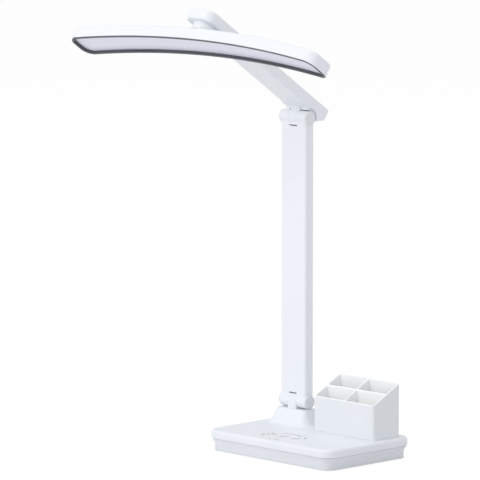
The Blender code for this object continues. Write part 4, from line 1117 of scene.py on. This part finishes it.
    def build_tray(self) -> None:
        """Tray with its counterbores, pad recess and socket hole, and its closing screws."""
        form = self.tray_form(0, self.tray_bottom, self.seam - GAP)
        form.rounded_rim(self.tray_bottom, self.tray_edge)
        form.cut(self.tray_form(self.side_wall, self.tray_floor, self.seam + OVERRUN))
        width, depth, corner = self.pad
        form.cut(Form.slab(width + 2 * GAP, depth + 2 * GAP, self.tray_bottom - OVERRUN,
                           self.pad_recess, corner + GAP))
        radius, level = self.counterbore
        for place in self.corners().values():
            form.cut(Form.pin(radius, -OVERRUN, level).moved(*place),
                     Form.pin(self.post_bore, -OVERRUN, self.tray_floor + OVERRUN).moved(*place))
        x, z = self.socket
        form.cut(along_y(Form.pin(*self.socket_opening)).moved(x, 0, z))
        self.show("base_tray", form, Slot.WHITE_SHELL)
        for label, place in self.corners().items():
            piece = self.screw.form(*self.screw_levels).turned(180, "X").moved(*place)
            self.show(f"{label}_base_screw", piece, Slot.STEEL)

    def build_pad(self) -> None:
        """Anti-slip pad with a soft edge and grooves across its underside."""
        width, depth, corner = self.pad
        form = Form.slab(width, depth, 0, self.pad_recess - GAP, corner)
        form.rounded_rim(0, self.pad_edge)
        pitch = self.groove_pitch
        count = int(width / pitch) - 2
        form.cut(Form.gathered(
            Form.slab(self.groove_width, depth - 2 * corner, -OVERRUN, self.groove_depth,
                      self.groove_depth, FINE_STEPS).moved((number - (count - 1) / 2) * pitch)
            for number in range(count)))
        self.show("anti_slip_pad", form, Slot.RUBBER)

    def build_touch(self) -> None:
        """Touch disc with its printed marks, and the indicator's lens."""
        x, y, radius = self.touch
        top = self.height
        outer = radius - self.ring_inset
        inner = outer - self.ring_width
        level = top - self.ring_depth
        disc = Form.turned_on_lathe([
            (0, top - self.disc), (radius, top - self.disc), *eased(radius, top, self.disc_edge),
            (outer, top), (outer - self.ring_flank, level), (inner + self.ring_flank, level),
            (inner, top), (0, top)], self.disc_steps)
        self.show("touch_disc", disc.moved(x, y), Slot.PALE_DISC)
        marks = Marks(*(top + level for level in self.print_levels))
        self.show("touch_marks", marks.form(), Slot.PALE_DISC, added=True,
                  material=MARK_GREY.material("mark_grey"))
        lens = Form.turned_down(top, self.lens, SMALL_SIDES)
        self.show("indicator_lens", lens.moved(*self.indicator), Slot.OPAL_DIFFUSER)

    def build_socket(self) -> None:
        """Power socket with a lead-in edge, and its centre pin."""
        x, z = self.socket
        front, shoulder, nose = self.socket_levels
        width, height, corner = self.socket_block
        body = Form.slab(width, height, front, shoulder, corner, SOFT_STEPS)
        body.joined(Form.turned_down(nose, self.socket_barrel))
        body.cut(Form.turned_down(nose, self.socket_hole))
        self.show("power_socket", along_y(body).moved(x, 0, z), Slot.BLACK_PLASTIC)
        pin = Form.turned_down(nose, self.socket_pin, SMALL_SIDES)
        self.show("power_socket_pin", along_y(pin).moved(x, 0, z), Slot.STEEL, added=True)


@dataclass
class Marks:
    """Plain grey symbols printed on the touch control."""

    low: float
    high: float
    # Place, length, width and direction of each bar
    bars: tuple[tuple[float, float, float, float, float], ...] = (
        (-2.2, -37.8, 12.5, 2.6, 49.0),
        (18.0, -39.3, 11.0, 2.8, 40.0),
        (-25.6, -40.2, 4.2, 2.8, 49.0),
        (-20.5, -35.2, 11.5, 2.0, -14.0),
        (-1.7, -60.6, 3.4, 1.2, 5.0),
        (6.5, -58.2, 6.0, 1.2, 26.0))
    bar_end: float = 0.05
    # Place and radius of each dot
    dots: tuple[Triple, ...] = ((-29.0, -44.5, 1.9), (24.6, -29.7, 2.0))
    arc_centre: Pair = (-3.0, -62.0)
    arc_radius: float = 40.0
    arc_angles: Pair = (66.0, 112.0)
    arc_half: float = 0.8
    arc_steps: int = 24

    def form(self) -> Form:
        """All the marks as one thin form."""
        forms = [Form.slab(length, width, self.low, self.high, width / 2 - self.bar_end, SOFT_STEPS)
                 .turned(angle, "Z").moved(x, y) for x, y, length, width, angle in self.bars]
        forms += [Form.pin(radius, self.low, self.high).moved(x, y) for x, y, radius in self.dots]
        return Form.gathered(forms + [self.arc_form()])

    def arc_form(self) -> Form:
        """A thin line bent along part of a circle."""
        start, end = self.arc_angles
        inner, outer = self.arc_radius - self.arc_half, self.arc_radius + self.arc_half
        form = Form()
        section = [form.mesh.verts.new((radius, 0, level))
                   for radius, level in ((inner, self.low), (outer, self.low),
                                         (outer, self.high), (inner, self.high))]
        face = form.mesh.faces.new(section)
        form.turned(start, "Z")
        bmesh.ops.spin(form.mesh, geom=[face, *face.edges], cent=(0, 0, 0), axis=(0, 0, 1),
                       angle=radians(end - start), steps=self.arc_steps)
        bmesh.ops.holes_fill(form.mesh, edges=form.mesh.edges, sides=4)
        return form.outward().moved(*self.arc_centre)


@dataclass
class Arm(Assembly):
    """Sizes that both arms share."""

    hinge: Hinge
    width: float = 40.6
    thickness: float = 12.9
    wall: float = 2.2
    ledge: float = 1.0
    cover: float = 1.9
    cover_edge: float = 0.3
    screw: Screw = Screw(0.9, 1.8)
    screw_rise: float = 0.7
    screw_foot: float = 2.2
    post: float = 2.5

    def fix_cover(self, shell: Form, cover: Form, floor: float, top: float,
                  places: dict[str, Point], lay: Callable[[Form], Form]) -> None:
        """Raise the posts, cut the holes and add the screws that hold a cover.

        Args:
            shell: the casing, which gets the posts.
            cover: the cover, which gets the holes.
            floor: level of the casing's inside.
            top: level of the cover's face.
            places: where the screws go, by the start of their names.
            lay: turns an upright form the way the screws point.
        """
        seat = top - self.cover - GAP
        head_low = top - self.screw_rise
        foot = floor + self.screw_foot
        over = top + OVERRUN
        hole = self.screw.shaft + GAP
        for label, place in places.items():
            post, bore, passage, recess, screw = (lay(form).moved(*place) for form in (
                Form.pin(self.post, floor - OVERRUN, seat), Form.pin(hole, foot - GAP, seat + OVERRUN),
                Form.pin(hole, seat - OVERRUN, over),
                Form.pin(self.screw.head + GAP, head_low - GAP, over),
                self.screw.form(foot, head_low, top)))
            shell.joined(post).cut(bore)
            cover.cut(passage, recess)
            self.show(f"{label}_screw", screw, Slot.STEEL)


@dataclass
class LowerArm(Arm):
    """Upright arm with a barrel at each end."""

    body = Body.LOWER_ARM

    length: float = 329.0
    edge: float = 3.0
    back_edge: float = 1.0
    barrel_edge: float = 0.15
    margin: float = 22.0
    cover_corner: float = 3.0
    screw_inset: float = 18.0
    notch_front: float = 4.7
    notch_back: float = 6.6
    # Black blocks at the bottom of the slits: painted shade where the slits are dark inside
    shade_block_shrink: float = 0.05
    shade_block_floor: float = 0.1
    shade_block_edge: float = 0.15

    @property
    def ends(self) -> tuple[tuple[str, float, int], ...]:
        """Each hinge's name, its axis' height, and 1 or -1 for the way into the arm."""
        return ("lower_hinge", 0, 1), ("upper_hinge", self.length, -1)

    def build(self) -> None:
        """Make the arm's shell, cover, screws and caps, and the black blocks that paint shade into the
        slits.
        """
        form = self.bar()
        end = self.width / 2 - self.hinge.shy
        for _, height, _ in self.ends:
            barrel = Form.rod(self.hinge.barrel, -end, end)
            for level in (-end, end):
                barrel.rounded_rim(level, self.barrel_edge)
            form.joined(along_x(barrel).moved(z=height))
        for _, height, inward in self.ends:
            form.cut(*self.lobe_cutters(height, inward))
        back = self.thickness / 2
        front = self.wall - back
        seat = back - self.cover - GAP
        cavity, ledge, cover = (along_y(panel).moved(z=self.length / 2) for panel in (
            self.panel(0, front, back + OVERRUN), self.panel(self.ledge, seat, back + OVERRUN),
            self.panel(self.ledge - GAP, seat + GAP, back).rounded_rim(back, self.cover_edge)))
        form.cut(cavity, ledge)
        inset = self.margin + self.screw_inset
        self.fix_cover(form, cover, front, back, {
            "lower_arm_bottom": (0, 0, inset), "lower_arm_top": (0, 0, self.length - inset)}, along_y)
        self.show("lower_arm_shell", form, Slot.WHITE_ARM)
        self.show("lower_arm_back", cover, Slot.WHITE_ARM)
        self.build_ends()

    def panel(self, grow: float, low: float, high: float) -> Form:
        """Outline of the cavity, grown all round and still flat, between two levels."""
        return Form.slab(self.width - 2 * (self.edge + self.ledge) + 2 * grow,
                         self.length - 2 * self.margin + 2 * grow, low, high,
                         self.cover_corner + grow, EDGE_STEPS)

    def bar(self) -> Form:
        """The arm between its hinges, its front drawn softly out to both barrels."""
        half = self.thickness / 2
        curve = self.hinge.fairing(half)
        inside = curve[0][0] + OVERRUN
        form = Form.prism([
            (half, 0), (half, self.length), (inside, self.length),
            *((y, self.length - z) for y, z in curve), *reversed(curve), (inside, 0)], self.width)
        for side, radius, steps in ((-1, self.edge, WIDE_STEPS), (1, self.back_edge, SOFT_STEPS)):
            form.rounded(lambda edge, side=side: not spans(edge, X) and all(
                side * vert.co.y > half - SAME for vert in edge.verts), radius, steps)
        return form

    def lobe_cutters(self, height: float, inward: int) -> list[Form]:
        """Notch for the lug, slit, bolt bore, washer recesses and cap seats at one end.

        Args:
            height: where the hinge's axis is.
            inward: 1 where the arm goes up from the axis, -1 where it goes down.

        Returns:
            The cutters.
        """
        hinge = self.hinge
        notch = hinge.lug + 2 * hinge.play
        free = hinge.barrel + OVERRUN
        rims = (self.notch_front, self.notch_back if inward < 0 else self.notch_front)
        half = self.width / 2
        recess = hinge.lug / 2 + hinge.washer + 2 * GAP
        cutters = [along_x(Form.rod(hinge.barrel + hinge.play, -notch / 2, notch / 2)).moved(z=height)]
        for side, rim in zip(SIDES, rims):
            low, high = (-free, rim) if inward > 0 else (-rim, free)
            cutters.append(Form.slab(notch, free, height + low, height + high).moved(
                y=side * (free / 2 - OVERRUN / 2)))
        cutters += [self.slit_form(height, inward, 0, OVERRUN, 0),
                    hinge.bore(self.width).moved(z=height),
                    along_x(Form.rod(hinge.washer_radius + GAP, -recess, recess)).moved(z=height)]
        cutters += [along_x(Form.rod(hinge.seat, half - hinge.seat_depth, half + OVERRUN),
                            side).moved(z=height) for side in SIDES]
        return cutters

    def slit_form(self, height: float, inward: int, shrink: float, out: float, floor: float) -> Form:
        """What fills the slit beside a hinge.

        Args:
            height: where the hinge's axis is.
            inward: 1 where the arm goes up from the axis, -1 where it goes down.
            shrink: how far the form is drawn in from the slit's sides.
            out: how far it stands out of the arm's front.
            floor: how far it stays above the slit's bottom.

        Returns:
            The form.
        """
        hinge = self.hinge
        half = hinge.slit / 2 - shrink
        form = Form.slab(hinge.lug - 2 * shrink, out + hinge.slit_depth - floor, -half, half)
        form.moved(y=(hinge.slit_depth - floor - out - self.thickness) / 2)
        centre = hinge.slit_above if inward > 0 else hinge.slit_below
        return form.moved(z=height + inward * centre)

    def build_ends(self) -> None:
        """The caps that close the barrels, and black blocks at the bottom of the slits that paint the
        shade inside them.
        """
        rim = self.width / 2 - self.hinge.shy + SAME
        for name, height, _ in self.ends:
            for label, side in NAMED_SIDES:
                cap = along_x(self.hinge.cap_form(rim), side).moved(z=height)
                self.show(f"{name}_{label}_cap", cap, Slot.GREY_CAP)
        # Painted shade: black rubber blocks deep in the slits make them read dark
        for name, height, inward in self.ends:
            slit_shade_block = self.slit_form(height, inward, self.shade_block_shrink, -OVERRUN, self.shade_block_floor)
            slit_shade_block.rounded(lambda edge: True, self.shade_block_edge, steps=2)
            self.show(f"{name}_seal", slit_shade_block, Slot.RUBBER, added=True)


@dataclass
class UpperArm(Arm):
    """Raised arm: round corners in front, square at its back, with a heel over the hinge."""

    body = Body.UPPER_ARM

    length: float = 182.57
    lift: float = 10.82
    rise: float = 34.5
    edge: float = 2.0
    front_corner: float = 13.0
    shy: float = 0.03
    heel_back: float = 21.83
    heel_toe: float = 8.93
    heel_bottom: float = 0.82
    heel_edge: float = 0.7
    nose_start: float = 14.57
    nose_drop: float = 0.8
    pocket: float = 11.4
    pocket_depth: float = 2.8
    pocket_bore: float = 9.1
    spindle_hole: float = 3.9
    cavity_back: float = 6.0
    cover_inset: float = 3.0
    back_screw: float = 12.0
    front_screw: float = 42.0

    def slab(self, inset: float, back: float, low: float, high: float) -> Form:
        """Arm outline drawn in by inset: round corners in front, square at the back.

        Args:
            inset: how far the outline is drawn in.
            back: where the square back is.
            low: height of the underside.
            high: height of the top.

        Returns:
            The form.
        """
        front = inset - self.length - self.width / 2
        form = Form.slab(self.width - 2 * inset, back - front, low, high)
        form.moved(y=(front + back) / 2)
        return form.rounded(lambda edge: lies_at(edge, Y, front) and spans(edge, Z),
                            self.front_corner - inset, CORNER_STEPS)

    def heel_form(self) -> Form:
        """Block under the back of the arm, whose bottom is level when the arm is raised."""
        middle = self.lift + self.thickness / 2
        foot = self.heel_bottom
        back_foot = foot + (self.heel_back - self.heel_toe) * tan(radians(self.rise))
        form = Form.prism([
            (-self.nose_start, middle), (-self.nose_start, self.lift),
            (-self.hinge.upper_lug, self.lift - self.nose_drop), (0, foot),
            (self.heel_toe, foot), (self.heel_back, back_foot), (self.heel_back, middle)], self.width)
        for side in SIDES:
            form.rounded(lambda edge, level=side * self.width / 2: lies_at(edge, X, level)
                         and any(vert.co.z < middle - SAME for vert in edge.verts),
                         self.heel_edge, SOFT_STEPS)
        return form

    def build(self) -> None:
        """Make the arm's shell, cover and screws."""
        hinge = self.hinge
        low, high = self.lift, self.lift + self.thickness
        over, end = high + OVERRUN, self.width / 2 + OVERRUN
        form = self.slab(self.shy, self.heel_back, low, high - self.shy)
        for level in (low, high - self.shy):
            form.rounded_rim(level, self.edge, steps=6)
        form.joined(self.heel_form())
        for side in SIDES:
            form.cut(along_x(Form.rod(self.pocket_bore, hinge.lug / 2, end), side),
                     along_x(Form.rod(self.pocket, end - OVERRUN - self.pocket_depth, end), side))
        lug = hinge.lug_form(hinge.barrel, low + self.thickness / 2)
        form.joined(lug.turned(180, "X")).cut(hinge.bore(hinge.lug))
        floor = low + self.wall
        seat = high - self.cover - GAP
        cover_back = self.heel_back - self.cover_inset
        form.cut(self.slab(self.edge + self.ledge, self.cavity_back, floor, over),
                 self.slab(self.edge, cover_back, seat, over),
                 Form.pin(self.spindle_hole, low - OVERRUN, floor + OVERRUN).moved(y=-self.length))
        cover = self.slab(self.edge + GAP, cover_back - GAP, seat + GAP, high)
        cover.rounded_rim(high, self.cover_edge)
        self.fix_cover(form, cover, floor, high, {
            "upper_arm_back": (0, -self.back_screw, 0),
            "upper_arm_front": (0, self.front_screw - self.length, 0)}, Form.outward)
        self.show("upper_arm_shell", form, Slot.WHITE_ARM)
        self.show("upper_arm_cover", cover, Slot.WHITE_ARM)


@dataclass
class Head(Assembly):
    """Arched light head on its swivel."""

    body = Body.HEAD

    offset: Pair = (4.0, 3.0)
    length: float = 395.2
    width: float = 38.3
    corner: float = 13.5
    top: float = -9.55
    bottom: float = -24.25
    sag: float = 14.3
    stations: int = 48
    wall: float = 1.8
    top_wall: float = 2.0
    edge: float = 2.8
    bottom_edge: float = 0.3
    lip: float = 0.4
    lip_lap: float = 0.2
    opening: float = 3.0
    recess: float = 3.5
    sheet: float = 1.8
    board_top: float = -14.0
    post: float = 4.0
    post_x: float = 110.0
    post_gap: float = 0.7
    post_bore: float = 1.2
    post_bore_top: float = -12.2
    spindle_hole: float = 3.8
    collar: Rod = (14.5, -9.25, -0.05)
    collar_edge: float = 0.4

    def slab(self, inset: float, low: float, high: float) -> Form:
        """Head outline drawn in by inset, still flat."""
        return Form.slab(self.length - 2 * inset, self.width - 2 * inset, low, high,
                         self.corner - inset)

    def drop(self, x: float) -> float:
        """How far the arch has dropped at x."""
        return self.sag * (2 * x / self.length) ** 2

    def arched(self, form: Form) -> Form:
        """Bend a flat form along the arch and move it to the head's centre."""
        for number in range(1, self.stations):
            form.split((self.length * (number / self.stations - 0.5), 0, 0), (1, 0, 0))
        for vert in form.mesh.verts:
            vert.co.z -= self.drop(vert.co.x)
        return form.moved(*self.offset)

    def build(self) -> None:
        """Make the collar, housing, frame and diffuser."""
        radius, low, high = self.collar
        collar = Form.turned_on_lathe([
            (self.spindle_hole, low), *reversed(eased(radius, low, -self.collar_edge)),
            *eased(radius, high, self.collar_edge), (self.spindle_hole, high)])
        self.show("swivel_collar", collar, Slot.PALE_DISC)
        self.build_housing()
        self.build_frame()
        sheet_low = self.bottom - GAP - self.lip + self.recess
        sheet = self.slab(self.wall + GAP, sheet_low, sheet_low + self.sheet)
        self.show("diffuser", self.arched(sheet), Slot.OPAL_DIFFUSER)

    def build_housing(self) -> None:
        """White housing, hollow underneath, with the posts for the LED board."""
        form = self.slab(0, self.bottom, self.top).rounded_rim(self.top, self.edge, steps=7)
        form = self.arched(form.rounded_rim(self.bottom, self.bottom_edge))
        inner = self.top - self.top_wall
        form.cut(self.arched(self.slab(self.wall, self.bottom - OVERRUN, inner)))
        for side in SIDES:
            x = side * self.post_x
            form.posted((self.post, self.board_top + self.post_gap, inner + OVERRUN),
                        (self.post_bore, self.board_top, self.post_bore_top),
                        (x + self.offset[0], self.offset[1], -self.drop(x)))
        form.cut(Form.pin(self.spindle_hole, inner - OVERRUN, self.top + OVERRUN))
        self.show("head_housing", form, Slot.WHITE_SHELL)

    def build_frame(self) -> None:
        """Dark frame: a thin lip under the housing and an upstand inside it."""
        lip_top = self.bottom - GAP
        low = lip_top - self.lip
        recess = low + self.recess
        lip = self.slab(GAP, low, lip_top).rounded_rim(low, self.bottom_edge)
        form = self.arched(lip)
        form.joined(self.arched(self.slab(self.wall + GAP, low + self.lip_lap, recess - GAP)))
        form.cut(self.arched(self.slab(self.opening, low - OVERRUN, recess + OVERRUN)))
        self.show("head_frame", form, Slot.DARK_FRAME)


# Studio


def aimed(name: str, data: bpy.types.Light | bpy.types.Camera, place: Point,
          aim: Point) -> bpy.types.Object:
    """Put a lamp or a camera in its place and turn it to its aim.

    Args:
        name: the object's name.
        data: the lamp or camera.
        place: where it stands, in metres.
        aim: what it looks at, in metres.

    Returns:
        The object.
    """
    thing = in_scene(name, data)
    thing.location = place
    thing.rotation_euler = (Vector(aim) - Vector(place)).to_track_quat("-Z", "Y").to_euler()
    return thing


@dataclass(frozen=True)
class SoftBox:
    """One soft studio lamp, in metres and watts."""

    name: str
    place: Point
    aim_height: float
    size: float
    power: float
    colour: Colour = (1.0, 1.0, 1.0)

    def build(self) -> None:
        """Hang the lamp and turn it to a point over the origin."""
        light = bpy.data.lights.new(self.name, "AREA")
        light.shape = "SQUARE"
        light.size = self.size
        light.energy = self.power
        light.color = self.colour
        aimed(self.name, light, self.place, (0.0, 0.0, self.aim_height))


@dataclass
class Studio:
    """Pale floor, even light from all sides, soft boxes and the camera."""

    camera_place: Point = (3.70496, -3.66638, 0.96220)
    camera_aim: Point = (-0.1482, 0.0331, 0.2290)
    lens: float = 347.105
    sensor: float = 36.0
    clip: Pair = (0.1, 60.0)
    floor_size: float = 40.0
    floor_colour: Colour = (0.80, 0.80, 0.81)
    floor_roughness: float = 0.9
    floor_glow: float = 1.10
    floor_glow_share: float = 0.78
    # Painted shade in the floor's colour, for the light it gives back: how dark it gets, the contact
    # shadow round the base's foot, and the broad shadow to its right
    painted_shade_tone: float = 0.50
    speckle_scale: float = 40.0
    speckle: float = 0.01
    contact_shade_half: Pair = (0.098, 0.066)
    contact_shade_reach: float = 0.007
    right_shade_share: float = 0.30
    right_shade_centre: Point = (0.24, 0.02, 0.0)
    right_shade_reach: float = 0.26
    right_shade_range: Pair = (0.4, 1.0)
    light_strength: float = 0.70
    light_colour: Colour = (0.97, 0.985, 1.0)
    boxes: tuple[SoftBox, ...] = (
        SoftBox("key", (-1.2, -3.4, 2.6), 0.2, 2.4, 56.0, (1.0, 0.995, 0.99)),
        SoftBox("fill", (2.6, -1.2, 1.6), 0.3, 2.0, 10.0),
        SoftBox("low", (-0.5, -2.4, 0.2), 0.4, 1.2, 4.5),
        SoftBox("top", (0.0, 0.6, 3.2), 0.2, 2.4, 14.0))

    def build(self) -> None:
        """Build the floor, the light and the camera."""
        self.build_floor()
        self.build_world()
        for box in self.boxes:
            box.build()
        self.build_camera()
        bpy.context.scene.view_settings.view_transform = "Standard"

    @staticmethod
    def seen(paint: Paint) -> Wire:
        """1 for camera, glossy and transmission rays, and 0 for the rest."""
        rays = [paint.node("LightPath", {}, {}, name)
                for name in ("Is Camera Ray", "Is Glossy Ray", "Is Transmission Ray")]
        return rays[0].larger(rays[1]).larger(rays[2])

    def painted_floor_shade(self, paint: Paint) -> Wire:
        """Painted shade in the floor's colour, for the light it gives back: a contact shadow at the
        base's foot, and a broad shadow to its right.

        Args:
            paint: the floor's nodes.

        Returns:
            The value, from 0 to 1.
        """
        spot = paint.place()
        sides = []
        for axis, half in zip("XY", self.contact_shade_half):
            along = paint.node("SeparateXYZ", {}, {0: spot}, axis)
            sides.append(along.larger(0.0 - along) - half)
        # Painted contact shadow along the base's foot
        foot = 1.0 - paint.rising(sides[0].larger(sides[1]) * (1 / self.contact_shade_reach), 0.0, 1.0)
        # Painted shade over the floor to the base's right
        away = paint.node("VectorMath", {"operation": "DISTANCE"},
                          {0: spot, 1: self.right_shade_centre}, "Value")
        right = 1.0 - paint.rising(away * (1 / self.right_shade_reach), *self.right_shade_range)
        return foot.larger(right * self.right_shade_share)

    def build_floor(self) -> None:
        """Pale floor that shows white and keeps a soft shadow, with painted shade near the base for the
        light it gives back.
        """
        form = Form()
        bmesh.ops.create_grid(form.mesh, x_segments=1, y_segments=1, size=self.floor_size / 2)
        floor = in_scene("floor", form.as_mesh("floor"))
        material = bpy.data.materials.new("floor")
        floor.data.materials.append(material)
        paint = Paint(material)
        darker = tuple(value - self.speckle for value in self.floor_colour)
        plain = paint.blend(paint.noise(self.speckle_scale, detail=3.0), self.floor_colour, darker)
        # Painted shade: rays the camera doesn't see find the floor darker near the base
        shade = tuple(value * self.painted_shade_tone for value in self.floor_colour)
        painted_shade_mask = (1.0 - self.seen(paint)) * self.painted_floor_shade(paint)
        paint.feed(Base_Color=paint.blend(painted_shade_mask, plain, shade), Roughness=self.floor_roughness,
                   Specular_IOR_Level=0.0)
        paint.overlay(self.seen(paint) * self.floor_glow_share, paint.node(
            "Emission", {}, {"Color": WHITE, "Strength": self.floor_glow}))

    def build_world(self) -> None:
        """Even light from all sides that the camera sees as white."""
        world = bpy.data.worlds.new("studio")
        bpy.context.scene.world = world
        paint = Paint(world)
        paint.feed(Color=(*self.light_colour, 1.0), Strength=self.light_strength)
        paint.overlay(paint.node("LightPath", {}, {}, "Is Camera Ray"),
                      paint.node("Background", {}, {"Color": WHITE}))

    def build_camera(self) -> None:
        """Camera where the photograph was taken from."""
        camera = bpy.data.cameras.new("camera")
        camera.lens = self.lens
        camera.sensor_width = self.sensor
        camera.clip_start, camera.clip_end = self.clip
        bpy.context.scene.camera = aimed("camera", camera, self.camera_place, self.camera_aim)


def main() -> None:
    """Build the lamp's looks in order."""
    logging.basicConfig(level=logging.INFO, format="%(name)s: %(message)s")
    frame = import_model()
    materials = {slot: finish.material(slot.value) for slot, finish in FINISHES.items()}
    table = Matrix.Identity(4)
    hinge = Hinge()
    holder = PenHolder(materials, table)
    base = Base(materials, table, hinge, holder)
    base.build()
    holder.build()
    at_hinge = Matrix.Translation(base.axis)
    lower = LowerArm(materials, at_hinge, hinge)
    lower.build()
    raised = (at_hinge @ Matrix.Translation((0, 0, lower.length))
              @ Matrix.Rotation(radians(-UpperArm.rise), 4, "X"))
    upper = UpperArm(materials, raised, hinge)
    upper.build()
    Head(materials, raised @ Matrix.Translation((0, -upper.length, upper.lift))).build()
    repaint(frame["nodes"], materials)
    Studio().build()


if __name__ == "__main__":
    main()
